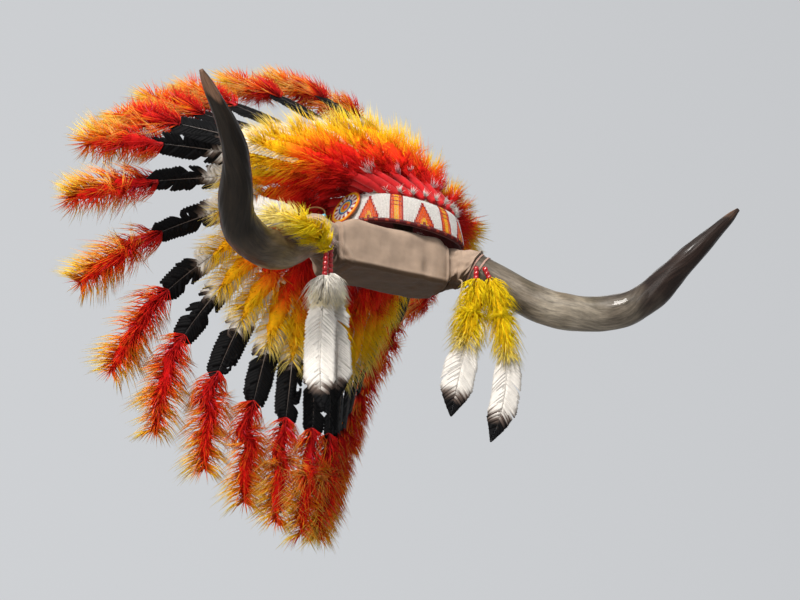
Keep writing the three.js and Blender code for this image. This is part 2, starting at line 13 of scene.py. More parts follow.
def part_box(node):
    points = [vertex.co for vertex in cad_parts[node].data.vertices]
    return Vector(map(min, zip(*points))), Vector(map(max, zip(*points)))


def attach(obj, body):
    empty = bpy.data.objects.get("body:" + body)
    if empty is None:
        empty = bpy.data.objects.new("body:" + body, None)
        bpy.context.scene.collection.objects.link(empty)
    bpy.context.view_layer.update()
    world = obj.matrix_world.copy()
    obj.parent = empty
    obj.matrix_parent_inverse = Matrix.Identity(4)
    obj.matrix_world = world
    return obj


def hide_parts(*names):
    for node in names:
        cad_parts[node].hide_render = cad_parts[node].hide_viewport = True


bl_info = {
    "name": "Feathered headdress",
    "version": (1, 0, 0),
    "blender": (4, 5, 0),
    "location": "3D View > Sidebar > Headdress",
    "description": "Dresses the packed headdress with feathers, down, beadwork, leather and horn",
    "category": "Object",
}

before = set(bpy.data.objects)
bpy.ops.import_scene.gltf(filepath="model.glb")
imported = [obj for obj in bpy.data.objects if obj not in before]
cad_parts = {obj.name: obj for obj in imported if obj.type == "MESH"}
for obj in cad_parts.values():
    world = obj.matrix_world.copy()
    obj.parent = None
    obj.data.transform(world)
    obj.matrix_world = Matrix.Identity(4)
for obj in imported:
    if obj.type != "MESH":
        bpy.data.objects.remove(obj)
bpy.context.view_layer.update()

BODY = "root"

# how much of the leather's colour its underside keeps, as painted shade: red, green, blue
UNDERSIDE_SHADE = (0.2, 0.15, 0.1)
CROWN_NODES = [f"feather_{side}_{number:02d}" for side in ("left", "right") for number in range(1, 15)]
DROP_NODES = [f"drop_feather_{place}" for place in ("right_inner", "right_outer", "left_outer", "left_inner")]


def paint(red, green, blue):
    """A colour given as 0 to 255 on a screen, as scene-linear numbers."""
    shares = np.array([red, green, blue]) / 255
    return tuple(np.where(shares > 0.04045, ((shares + 0.055) / 1.055) ** 2.4, shares / 12.92).tolist())


def colour_property(name, description, screen):
    """A colour that the user may change, with its default as screen values."""
    return bpy.props.FloatVectorProperty(
        name=name, description=description, default=paint(*screen), size=3, min=0, max=1, subtype="COLOR"
    )


def length_property(name, description, millimetres):
    """A length that the user may change, with its default in millimetres."""
    return bpy.props.FloatProperty(
        name=name, description=description, default=millimetres / 1000, min=0, subtype="DISTANCE", unit="LENGTH"
    )


class HeaddressColours(bpy.types.PropertyGroup):
    """Dyes, leather and beads."""

    deep_red: colour_property("Deep red", "Down next to the wraps, and the core of the plumes", (178, 4, 8))
    red: colour_property("Red", "Dyed down", (226, 20, 10))
    red_orange: colour_property("Red-orange", "Dyed down", (240, 62, 8))
    orange: colour_property("Orange", "Dyed down", (250, 128, 8))
    yellow: colour_property("Yellow", "Dyed down", (255, 206, 10))
    pale_yellow: colour_property("Pale yellow", "Ends of the dyed down", (248, 226, 130))
    rose: colour_property("Rose", "A few wisps of the plumes", (214, 70, 110))
    white: colour_property("Feather white", "Vanes and small puffs", (228, 223, 216))
    black: colour_property("Feather black", "Tips of the vanes", (7, 7, 9))
    brown: colour_property("Feather brown", "Barbs between white and black", (96, 82, 74))
    wrap_red: colour_property("Wrap red", "Felt round the quills", (205, 12, 20))
    cap_red: colour_property("Cap red", "Felt of the cap", (92, 20, 20))
    bead_white: colour_property("Bead white", "Ground of the beadwork", (240, 237, 233))
    bead_orange: colour_property("Bead orange", "Beadwork figures", (240, 96, 24))
    bead_yellow: colour_property("Bead yellow", "Beadwork figures", (250, 190, 24))
    bead_red: colour_property("Bead red", "Beadwork outlines and bead strings", (176, 16, 24))
    bead_blue: colour_property("Bead blue", "Rosette ring", (30, 48, 150))
    bead_cyan: colour_property("Bead cyan", "Rosette ring", (96, 190, 220))
    bead_violet: colour_property("Bead violet", "Rosette middle", (176, 150, 210))
    binding: colour_property("Binding", "Stitched lower edge of the band", (96, 16, 24))
    leather: colour_property("Leather", "Soft leather of the block", (172, 148, 128))
    horn_dark: colour_property("Horn charcoal", "Dark horn", (31, 24, 17))
    horn_brown: colour_property("Horn brown", "Streaks of both horns", (66, 54, 41))
    peg: colour_property("Peg wood", "Hidden post inside the cap", (120, 88, 60))


class HeaddressSizes(bpy.types.PropertyGroup):
    """Sizes of what the frame leaves open."""

    barb_thick: length_property("Barb thickness", "Radius of a down barb at its root", 0.66)
    down_reach: length_property("Down reach", "How far the down stands off a quill", 32)
    plume_reach: length_property("Plume reach", "How far a tip plume stands off its middle", 50)
    bead_wide: length_property("Bead width", "Width of a seed bead", 2.0)
    bead_long: length_property("Bead length", "Length of a seed bead with its gap", 1.5)
    down_barbs: bpy.props.IntProperty(
        name="Down barbs", description="Barbs of the down at a feather's base", default=900, min=10
    )
    plume_barbs: bpy.props.IntProperty(
        name="Plume barbs", description="Barbs of the plume at a feather's tip", default=860, min=10
    )
    web_strips: bpy.props.IntProperty(
        name="Web strips", description="Ribbons in each web of a vane", default=38, min=8
    )


def unit(vectors):
    """Vectors divided by their own length."""
    return vectors / np.maximum(np.linalg.norm(vectors, axis=-1, keepdims=True), 1e-9)


def square_to(vectors, direction):
    """The part of the vectors that is square to a direction of length one."""
    return vectors - (vectors * direction).sum(-1, keepdims=True) * direction


def through(knots, values, at):
    """A smooth curve through values at their knots: a cubic Hermite whose slopes come from the neighbours."""
    slopes = np.gradient(values, knots, axis=0)
    at = np.clip(at, knots[0], knots[-1])
    cell = np.clip(np.searchsorted(knots, at, side="right") - 1, 0, len(knots) - 2)
    shape = (-1,) + (1,) * (values.ndim - 1)
    span = (knots[cell + 1] - knots[cell]).reshape(shape)
    u = (at - knots[cell]).reshape(shape) / span
    start = values[cell] * (1 + 2 * u) * (1 - u) ** 2 + slopes[cell] * span * u * (1 - u) ** 2
    end = values[cell + 1] * u * u * (3 - 2 * u) + slopes[cell + 1] * span * u * u * (u - 1)
    return start + end


def around(values, count):
    """A closed ring of values, resampled smoothly at count even places."""
    size = len(values)
    places = np.arange(-3, size + 4)
    return through(places.astype(float), values[places % size], np.arange(count) * size / count)


def ramp(places, colours, at):
    """Colours read between their places, straight from one to the next."""
    colours = np.array([tuple(colour) for colour in colours])
    return np.stack([np.interp(at, places, colours[:, channel]) for channel in range(3)], axis=-1)


def swell(points, rng, wave, count=14):
    """Soft uneven relief from -1 to 1: a mean of sines in random directions, about one wave long."""
    directions = unit(rng.normal(size=(count, 3))) * (2 * math.pi / wave) * rng.uniform(0.6, 1.6, (count, 1))
    phases = rng.uniform(0, 2 * math.pi, count)
    return np.sin(points @ directions.T + phases).sum(-1) * math.sqrt(2 / count) / 2


def merged(node):
    """A CAD node's corners without repeats, and its triangles by those corners."""
    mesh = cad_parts[node].data
    corners = np.empty(len(mesh.vertices) * 3, np.float32)
    mesh.vertices.foreach_get("co", corners)
    loops = np.empty(len(mesh.loops), np.int32)
    mesh.loops.foreach_get("vertex_index", loops)
    points, place = np.unique(np.round(corners.reshape(-1, 3), 6), axis=0, return_inverse=True)
    return points.astype(float), place.ravel()[loops].reshape(-1, 3)


def layers(node, start):
    """The rings of a lofted node: its corners by how many edges they lie from the pole nearest to start.

    The two poles are the corners where most edges meet.
    """
    points, faces = merged(node)
    joined = np.zeros((len(points), len(points)), bool)
    for first, second in ((0, 1), (1, 2), (2, 0)):
        joined[faces[:, first], faces[:, second]] = True
    joined |= joined.T
    poles = np.argsort(joined.sum(1))[-2:]
    pole = min(poles, key=lambda place: np.linalg.norm(points[place] - start))
    level = np.full(len(points), -1)
    level[pole] = 0
    while (level < 0).any():
        deepest = level.max()
        level[joined[level == deepest].any(0) & (level < 0)] = deepest + 1
    return [points[level == step] for step in range(1, level.max())], points[pole]


class Part:
    """Points and faces of one surface, with its material's name and a colour for each point."""

    def __init__(self, points, faces, material, tint, grain=None):
        self.points = np.asarray(points, float).reshape(-1, 3)
        self.faces = np.asarray(faces, np.int32)
        self.material = material
        self.tint = np.broadcast_to(np.asarray(tint, float).reshape(-1, 3), self.points.shape)
        self.grain = self.points if grain is None else np.asarray(grain, float).reshape(-1, 3)


def make_piece(name, parts, replaces=(), smooth=True):
    """One object from its parts: each material is a slot, colours go to the attribute tint, grain to grain."""
    mesh = bpy.data.meshes.new(name)
    starts = np.cumsum([0] + [len(part.points) for part in parts])
    mesh.vertices.add(int(starts[-1]))
    mesh.vertices.foreach_set("co", np.concatenate([part.points for part in parts]).ravel())
    loops = np.concatenate([(part.faces + start).ravel() for part, start in zip(parts, starts)])
    sizes = np.concatenate([np.full(len(part.faces), part.faces.shape[1]) for part in parts])
    mesh.loops.add(len(loops))
    mesh.loops.foreach_set("vertex_index", loops.astype(np.int32))
    mesh.polygons.add(len(sizes))
    mesh.polygons.foreach_set("loop_start", (np.cumsum(sizes) - sizes).astype(np.int32))
    used = list(dict.fromkeys(part.material for part in parts))
    for material in used:
        mesh.materials.append(bpy.data.materials[material])
    slots = np.concatenate([np.full(len(part.faces), used.index(part.material)) for part in parts])
    mesh.polygons.foreach_set("material_index", slots.astype(np.int32))
    mesh.polygons.foreach_set("use_smooth", np.full(len(sizes), smooth))
    mesh.update(calc_edges=True)
    tint = np.concatenate([np.column_stack([part.tint, np.ones(len(part.points))]) for part in parts])
    mesh.color_attributes.new("tint", "FLOAT_COLOR", "POINT").data.foreach_set("color", tint.ravel())
    grain = np.concatenate([part.grain for part in parts])
    mesh.attributes.new("grain", "FLOAT_VECTOR", "POINT").data.foreach_set("vector", grain.ravel())
    piece = bpy.data.objects.new(name, mesh)
    bpy.context.scene.collection.objects.link(piece)
    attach(piece, BODY)
    if replaces:
        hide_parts(*replaces)
    return piece


def skin_faces(rows, columns):
    """Faces of rows of points closed round their columns, with a pole before the first and after the last."""
    row, column = np.meshgrid(np.arange(rows - 1), np.arange(columns), indexing="ij")
    here, beside = row * columns + column, row * columns + (column + 1) % columns
    sides = np.stack([here, beside, beside + columns, here + columns], -1).reshape(-1, 4)
    column = np.arange(columns)
    beside = (column + 1) % columns
    low, high = rows * columns, rows * columns + 1
    last = (rows - 1) * columns
    first_cap = np.stack([beside, column, np.full(columns, low)], -1)
    last_cap = np.stack([last + column, last + beside, np.full(columns, high)], -1)
    triangles = np.concatenate([sides[:, [0, 1, 2]], sides[:, [0, 2, 3]], first_cap, last_cap])
    return triangles


def outward(points, faces):
    """The faces turned over if the volume that they enclose comes out negative."""
    corners = points[faces]
    volume = (corners[:, 0] * np.cross(corners[:, 1], corners[:, 2])).sum()
    return faces if volume > 0 else faces[:, ::-1]


def skinned(grid, material, tint, grain=None):
    """A closed part from a grid of points (rows, columns), with a pole at the middle of each end row."""
    rows, columns = grid.shape[:2]
    points = np.concatenate([grid.reshape(-1, 3), grid[[0, -1]].mean(1)])
    tint = np.broadcast_to(tint, grid.shape)
    tint = np.concatenate([tint.reshape(-1, 3), tint[[0, -1], 0]])
    if grain is not None:
        grain = np.concatenate([grain.reshape(-1, 3), grain[[0, -1]].mean(1)])
    return Part(points, outward(points, skin_faces(rows, columns)), material, tint, grain)


def tube(path, radius, material, tint, sides=8, reference=(0.3, 0.2, 1.0)):
    """A closed tube: round rings square to the path, each of the radius given for its point."""
    path = np.asarray(path, float)
    run = unit(np.gradient(path, axis=0))
    side = unit(np.cross(run, np.array(reference, float)))
    over = np.cross(side, run)
    angle = np.linspace(0, 2 * math.pi, sides, endpoint=False)
    circle = np.cos(angle)[None, :, None] * side[:, None] + np.sin(angle)[None, :, None] * over[:, None]
    radius = np.broadcast_to(radius, len(path)).reshape(-1, 1, 1)
    tint = np.asarray(tint, float)
    tint = tint if tint.ndim == 1 else tint[:, None]
    return skinned(path[:, None] + radius * circle, material, tint)


SPIKE_STEPS = np.array([0.0, 0.48])
SPIKE_ALONG = np.append(np.repeat(SPIKE_STEPS, 3), 1.0)


def spikes(root, bend, tip, thick, material, tint):
    """Closed slender barbs, seven points each: two rings of three on a quadratic curve, and the tip.

    A place on the curve is (1-t)^2 root + 2t(1-t) bend + t^2 tip, and a ring's radius is thick (1-t)^0.6.
    """
    t = SPIKE_STEPS[None, :, None]
    root, bend, tip = root[:, None], bend[:, None], tip[:, None]
    middle = (1 - t) ** 2 * root + 2 * t * (1 - t) * bend + t * t * tip
    run = unit(2 * (1 - t) * (bend - root) + 2 * t * (tip - bend))
    side = unit(np.cross(run, np.array([0.31, 0.52, 0.79])))
    over = np.cross(run, side)
    angle = np.arange(3) * 2 * math.pi / 3
    circle = np.cos(angle)[:, None] * side[:, :, None] + np.sin(angle)[:, None] * over[:, :, None]
    radius = (np.reshape(thick, (-1, 1, 1)) * (1 - t) ** 0.6)[..., None]
    rings = (middle[:, :, None] + radius * circle).reshape(len(root), 6, 3)
    points = np.concatenate([rings, tip], axis=1)
    template = np.array([
        [0, 1, 4], [0, 4, 3], [1, 2, 5], [1, 5, 4], [2, 0, 3], [2, 3, 5],
        [0, 2, 1], [3, 4, 6], [4, 5, 6], [5, 3, 6],
    ])
    faces = (template[None] + 7 * np.arange(len(root))[:, None, None]).reshape(-1, 3)
    return Part(points, faces, material, tint)


class Quill:
    """A feather's middle line, read from its node: distance runs in metres from its foot."""

    def __init__(self, node, foot_near, inside):
        rings, _ = layers(node, foot_near)
        self.rings = np.stack(rings)
        self.centres = self.rings.mean(1)
        steps = np.linalg.norm(np.diff(self.centres, axis=0), axis=1)
        self.knots = np.concatenate([[0], np.cumsum(steps)])
        self.long = self.knots[-1]
        offsets = self.rings - self.centres[:, None]
        spreads, turns = zip(*[np.linalg.svd(offset, full_matrices=False)[1:] for offset in offsets])
        spreads = np.array(spreads)
        flattest = np.argmin(spreads[:, 1] / spreads[:, 0])
        self.over = turns[flattest][1]
        if self.over @ (self.centres[flattest] - inside) < 0:
            self.over = -self.over

    def at(self, distance):
        """Points of the line; past its end it runs straight on."""
        inside = np.clip(distance, 0, self.long)
        end = unit(self.centres[-1] - self.centres[-2])
        return through(self.knots, self.centres, inside) + (distance - inside)[:, None] * end

    def axes(self, distance):
        """Directions along the line, across the feather and out of its face."""
        near = np.clip(distance, 0.003, self.long - 0.003)
        along = unit(self.at(near + 0.003) - self.at(near - 0.003))
        over = unit(square_to(self.over, along))
        return along, np.cross(over, along), over


def down(quill, rng, count, span, reach, advance, profile, tint_at, thick, tufts=90, lean=0.0, rise=0.06):
    """A fluffy part: barbs in tufts, from the quill to an oval round it.

    A barb starts at its tuft's distance, ends further on by the advance, and its tip stands off by the
    oval's radius at the tuft's angle times the profile. Reach is across and out of the face, and rise is
    the share of it where the barb starts. The tint gets how far to the side a point stands, 0 to 1.
    """
    tuft = rng.integers(0, tufts, count)
    tuft_start = np.linspace(span[0], span[1], tufts) + rng.normal(0, 0.004, tufts)
    tuft_angle = rng.uniform(0, 2 * math.pi, tufts)
    tuft_long = rng.uniform(0.78, 1.1, tufts)
    start = np.clip(tuft_start[tuft] + rng.normal(0, 0.007, count), span[0], span[1])
    angle = tuft_angle[tuft] + rng.normal(0, 0.42, count)
    long = tuft_long[tuft] * rng.uniform(0.7, 1.06, count)
    size = np.interp((start - span[0]) / (span[1] - span[0]), *profile) * long
    end = start + advance * long * rng.uniform(0.75, 1.2, count)

    def beside(distance, share):
        _, across, over = quill.axes(distance)
        wide = (reach[0] * np.cos(angle) * size * share)[:, None] * across
        high = (reach[1] * (np.sin(angle) + lean) * size * share)[:, None] * over
        return quill.at(distance) + wide + high

    root = beside(start, rise)
    bend = beside(start + 0.3 * (end - start), rise + 0.64 * (1 - rise))
    tip = beside(end, 1.0)
    along = start[:, None] + (end - start)[:, None] * SPIKE_ALONG
    flank = (0.3 + 0.7 * np.abs(np.cos(angle)) ** 1.5)[:, None] * (rise + (1 - rise) * SPIKE_ALONG)
    tint = tint_at(along, flank, rng.normal(0, 1, (count, 1)))
    tint = tint * rng.uniform(0.85, 1.12, (count, 1, 1))
    return spikes(root, bend, tip, thick * rng.uniform(0.7, 1.1, count), "down", np.clip(tint, 0, 1))


def web(quill, rng, count, span, half, outline, tint_at, sweep=0.62, arch=0.0025, curled=()):
    """Both webs of a vane, as closed ribbons of a few barbs each that leave the shaft by pairs.

    A ribbon starts at the sweep's angle forward of straight across, and its heading grows with the square of
    how far it has come. Its place is the running sum of its headings. Ribbons go in groups that split apart.
    """
    steps = 5
    side = np.repeat([-1.0, 1.0], count)
    start = np.tile(np.linspace(span[0], span[1], count), 2)
    pitch = (span[1] - span[0]) / count
    group = np.cumsum(rng.random(2 * count) < 0.1)
    split = rng.normal(0, 0.07, group[-1] + 1)[group]
    heading = sweep + split + rng.normal(0, 0.006, 2 * count)
    bending = np.full(2 * count, 0.3)
    for curl_side, low, high, amount in curled:
        share = (start - span[0]) / (span[1] - span[0])
        bending += np.where((side == curl_side) & (share > low) & (share < high), amount, 0)
    wide = half * np.interp((start - span[0]) / (span[1] - span[0]), *outline)
    wide = wide * rng.uniform(0.965, 1.01, 2 * count)
    length = wide / np.cos(sweep)
    u = (np.arange(steps) + 0.5) / steps
    turn = heading[:, None] + bending[:, None] * u * u
    hop = (length / steps)[:, None]
    y = np.pad(np.cumsum(np.cos(turn) * hop, 1), ((0, 0), (1, 0)))
    x = np.pad(np.cumsum(np.sin(turn) * hop, 1), ((0, 0), (1, 0)))
    turn = np.concatenate([turn[:, :1], turn], 1)
    along, across, over = (axis[:, None] for axis in quill.axes(start))
    across = across * side[:, None, None]
    lift = -arch * (y / half) ** 2 + rng.normal(0, 0.00012, (2 * count, 1))
    middle = quill.at(start)[:, None] + along * x[..., None] + across * y[..., None] + over * lift[..., None]
    breadth = along * np.cos(turn)[..., None] - across * np.sin(turn)[..., None]
    share = np.linspace(0, 1, steps + 1)
    half_wide = (0.8 * pitch * np.cos(sweep) * (1 - 0.35 * share**8))[None, :, None]
    flat = 0.00016
    corners = [middle + a * half_wide * breadth + b * flat * over for a, b in ((-1, -1), (1, -1), (1, 1), (-1, 1))]
    points = np.stack(corners, 2)
    ring = np.arange(steps)[:, None] * 4 + np.arange(4)
    beside = np.arange(steps)[:, None] * 4 + (np.arange(4) + 1) % 4
    sides = np.stack([ring, beside, beside + 4, ring + 4], -1).reshape(-1, 4)
    ends = np.array([[3, 2, 1, 0], [steps * 4 + corner for corner in range(4)]])
    template = np.concatenate([sides, ends])
    every = template + (steps + 1) * 4 * np.arange(2 * count)[:, None, None]
    faces = np.where((side < 0)[:, None, None], every, every[:, :, ::-1]).reshape(-1, 4)
    tint = tint_at(start[:, None] + x, y / half, rng.normal(0, 1, (2 * count, 1)))
    tint = np.repeat((tint * rng.uniform(0.9, 1.06, (2 * count, 1, 1)))[:, :, None], 4, 2)
    return Part(points, faces, "vane", np.clip(tint, 0, 1))


def shaft(quill, span, radius, tint):
    """The bare quill: a tapered tube a little proud of the vane, its colours spread evenly along it."""
    distance = np.linspace(span[0], span[1], 16)
    _, _, over = quill.axes(distance)
    size = np.interp(distance, span, radius)
    path = quill.at(distance) + over * size[:, None] * 0.4
    return tube(path, size, "quill", ramp(np.linspace(0, 1, len(tint)), tint, np.linspace(0, 1, 16)), sides=6)


def core(quill, span, reach, profile, tint_at, share=0.42):
    """The dense middle of a fluffy part: an oval tube with a ragged skin, its radius a share of the barbs'."""
    rows, columns = 24, 10
    distance = np.linspace(span[0], span[1], rows)
    _, across, over = quill.axes(distance)
    place = np.linspace(0, 1, rows)
    size = np.interp(place, *profile) * share * np.minimum(1, 0.15 + 5 * place * (1 - place))
    angle = np.linspace(0, 2 * math.pi, columns, endpoint=False)
    ragged = 1 + 0.2 * np.sin(3 * angle[None] + 260 * distance[:, None])
    wide = (reach[0] * size)[:, None] * np.cos(angle) * ragged
    high = (reach[1] * size)[:, None] * np.sin(angle) * ragged
    grid = quill.at(distance)[:, None] + wide[..., None] * across[:, None] + high[..., None] * over[:, None]
    even = np.ones((rows, columns))
    # the colour raised to the power 1.5 is painted shade and bounced light: darker, with yellow turned towards orange,
    # in the dense middle of the down
    return skinned(grid, "down", tint_at(distance[:, None] * even, 0.2 * even, 0 * even) ** 1.5)


def wrap(quill, span, radius, colour, rng):
    """The felt round a quill: a tube with a lapped seam and soft dents, closed over at both ends."""
    distance = np.linspace(span[0], span[1], 18)
    angle = np.linspace(0, 2 * math.pi, 16, endpoint=False)
    _, across, over = quill.axes(distance)
    size = np.interp(distance, np.linspace(*span, 5), radius * np.array([0.9, 1.0, 1.02, 1.0, 0.8]))
    dents = 1 + 0.03 * np.sin(3 * angle + 90 * distance[:, None]) + 0.02 * np.sin(7 * angle - 210 * distance[:, None])
    lap = 1 + 0.07 * np.exp(-(((angle - 4.32) / 0.3) ** 2))
    wide = size[:, None] * dents * lap
    circle = np.cos(angle)[:, None] * across[:, None] + np.sin(angle)[:, None] * over[:, None]
    shade = np.array(colour) * rng.uniform(0.9, 1.05)
    return skinned(quill.at(distance)[:, None] + wide[..., None] * circle, "felt", shade)


def puff(middle, direction, rng, reach, count, colour, thick=0.0004, spread=0.9):
    """A small tuft: barbs from one point, fanned about a direction."""
    aim = unit(np.asarray(direction) + rng.normal(0, spread * 0.5, (count, 3)))
    root = middle + rng.normal(0, 0.0012, (count, 3))
    long = (reach * rng.uniform(0.6, 1.1, count))[:, None]
    tip = root + aim * long
    bend = root + unit(aim + rng.normal(0, 0.35, (count, 3))) * long * 0.55
    shade = np.array(colour) * rng.uniform(0.8, 1.05, (count, 1, 1)) * np.ones((1, 7, 1))
    return spikes(root, bend, tip, np.full(count, thick), "down", np.clip(shade, 0, 1))


class Crown:
    """The cap's outer face as a smooth function of the turn from the brow, to the left, and the height."""

    def __init__(self):
        low, high = (np.array(corner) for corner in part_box("crown_cap"))
        self.middle = (low + high) / 2
        band, _ = merged("browband")
        front = unit((band.mean(0) - self.middle)[:2])
        top = np.array([self.middle[0], self.middle[1], high[2]])
        rings, pole = layers("crown_cap", top)
        skin = rings[: len(rings) // 2]
        columns = len(skin[0])
        ordered = []
        for ring in skin:
            away = ring[:, :2] - self.middle[:2]
            turn = -np.arctan2(front[0] * away[:, 1] - front[1] * away[:, 0], away @ front)
            ordered.append(ring[np.argsort(np.round(turn * columns / (2 * math.pi)) % columns)])
        grid = np.array(ordered[::-1] + [np.repeat(pole[None], columns, 0)])
        self.heights = grid[:, 0, 2] - grid[0, 0, 2]
        self.grid = grid

    def at(self, turn, up, out=0.0):
        """Points at a turn in radians and a height above the rim, out from the face along its normal."""
        turn, up, out = (np.ravel(value).astype(float) for value in np.broadcast_arrays(turn, up, out))
        if not out.any():
            return self.face(turn, up)
        return self.face(turn, up) + out[:, None] * self.normal(turn, up)

    def face(self, turn, up):
        """The face itself: the cap's corners, weighed by a smooth curve round it and one up it."""
        rows, columns = self.grid.shape[:2]
        up_weights = through(self.heights, np.eye(rows), up)
        places = np.arange(-3, columns + 4)
        place = (turn / (2 * math.pi) * columns) % columns
        round_weights = through(places.astype(float), np.eye(columns)[places % columns], place)
        return np.einsum("nr,rck,nc->nk", up_weights, self.grid, round_weights)

    def normal(self, turn, up):
        """Directions out of the face, from its slopes round and up."""
        step = 0.001
        low, high = np.maximum(up - step, 0), np.minimum(up + step, self.heights[-1] - step)
        rise = self.face(turn, high) - self.face(turn, low)
        sideways = self.face(turn + 0.01, up) - self.face(turn - 0.01, up)
        return unit(np.cross(rise, sideways))


def node_noise(tree, coordinates, scale, detail, rough=0.6):
    """A noise node fed by the given coordinates."""
    noise = tree.nodes.new("ShaderNodeTexNoise")
    noise.inputs["Scale"].default_value = scale
    noise.inputs["Detail"].default_value = detail
    noise.inputs["Roughness"].default_value = rough
    tree.links.new(coordinates, noise.inputs["Vector"])
    return noise.outputs["Fac"]


def node_range(tree, value, low, high):
    """A map of the noise's middle range onto low to high."""
    spread = tree.nodes.new("ShaderNodeMapRange")
    spread.inputs["From Min"].default_value = 0.3
    spread.inputs["From Max"].default_value = 0.7
    spread.inputs["To Min"].default_value = low
    spread.inputs["To Max"].default_value = high
    tree.links.new(value, spread.inputs["Value"])
    return spread.outputs["Result"]


def make_finish(name, mottle, grain, roughness, streaks=None, base=None, **constants):
    """A surface: its tint darkened and lightened by mottle, with relief from grain and uneven roughness.

    mottle is (scale, lowest, highest), grain (scale, height in metres), roughness (lowest, highest) and
    streaks (squeeze, scale, lowest, highest) stretched along the grain attribute. Without a base colour it
    reads the piece's tint. The constants are set on the shader's own sockets.
    """
    material = bpy.data.materials.new(name)
    material.use_nodes = True
    tree = material.node_tree
    shader = tree.nodes["Principled BSDF"]
    if base is None:
        tint = tree.nodes.new("ShaderNodeAttribute")
        tint.attribute_name = "tint"
        colour = tint.outputs["Color"]
        own = tree.nodes.new("ShaderNodeAttribute")
        own.attribute_name = "grain"
        coordinates = own.outputs["Vector"]
    else:
        whole = tree.nodes.new("ShaderNodeRGB")
        whole.outputs[0].default_value = (*base, 1)
        colour = whole.outputs[0]
        coordinates = tree.nodes.new("ShaderNodeTexCoord").outputs["Object"]

    def shade(colour, factor):
        mix = tree.nodes.new("ShaderNodeMix")
        mix.data_type = "RGBA"
        mix.blend_type = "MULTIPLY"
        mix.inputs["Factor"].default_value = 1
        tree.links.new(colour, mix.inputs["A"])
        tree.links.new(factor, mix.inputs["B"])
        return mix.outputs["Result"]

    colour = shade(colour, node_range(tree, node_noise(tree, coordinates, mottle[0], 4), mottle[1], mottle[2]))
    if streaks:
        stretch = tree.nodes.new("ShaderNodeMapping")
        stretch.inputs["Scale"].default_value = (streaks[0], 1, 1)
        tree.links.new(coordinates, stretch.inputs["Vector"])
        fine = node_noise(tree, stretch.outputs["Vector"], streaks[1], 5, 0.7)
        colour = shade(colour, node_range(tree, fine, streaks[2], streaks[3]))
        coordinates = stretch.outputs["Vector"]
    tree.links.new(colour, shader.inputs["Base Color"])
    relief = node_noise(tree, coordinates, grain[0], 3)
    bump = tree.nodes.new("ShaderNodeBump")
    bump.inputs["Distance"].default_value = grain[1]
    tree.links.new(relief, bump.inputs["Height"])
    tree.links.new(bump.outputs["Normal"], shader.inputs["Normal"])
    tree.links.new(node_range(tree, relief, *roughness), shader.inputs["Roughness"])
    for socket, value in constants.items():
        shader.inputs[socket.replace("_", " ")].default_value = value
    return material


def make_finishes():
    """Every material of the object."""
    colours = bpy.context.scene.headdress_colours
    make_finish("down", (220, 0.82, 1.12), (900, 0.0002), (0.75, 0.95), Specular_IOR_Level=0.25)
    make_finish("vane", (130, 0.9, 1.06), (1500, 0.0002), (0.6, 0.8), Specular_IOR_Level=0.12)
    make_finish("quill", (150, 0.85, 1.05), (700, 0.0001), (0.3, 0.45))
    make_finish("felt", (90, 0.72, 1.12), (1100, 0.0006), (0.85, 0.98), Sheen_Weight=0.12)
    make_finish("suede", (34, 0.8, 1.08), (900, 0.0004), (0.78, 0.95), Sheen_Weight=0.1)
    make_finish("horn", (26, 0.75, 1.12), (260, 0.0005), (0.3, 0.55), streaks=(0.14, 330, 0.4, 1.4),
                Specular_IOR_Level=0.22, Coat_Weight=0.1)
    make_finish("seed_bead", (700, 0.85, 1.08), (1300, 0.0001), (0.12, 0.26), Coat_Weight=0.5)
    make_finish("crow_bead", (240, 0.75, 1.15), (500, 0.0001), (0.1, 0.22), Coat_Weight=0.8)
    make_finish("cord", (400, 0.75, 1.1), (1500, 0.0005), (0.8, 0.95))
    make_finish("peg_wood", (40, 0.6, 1.15), (420, 0.0004), (0.6, 0.8), base=tuple(colours.peg))


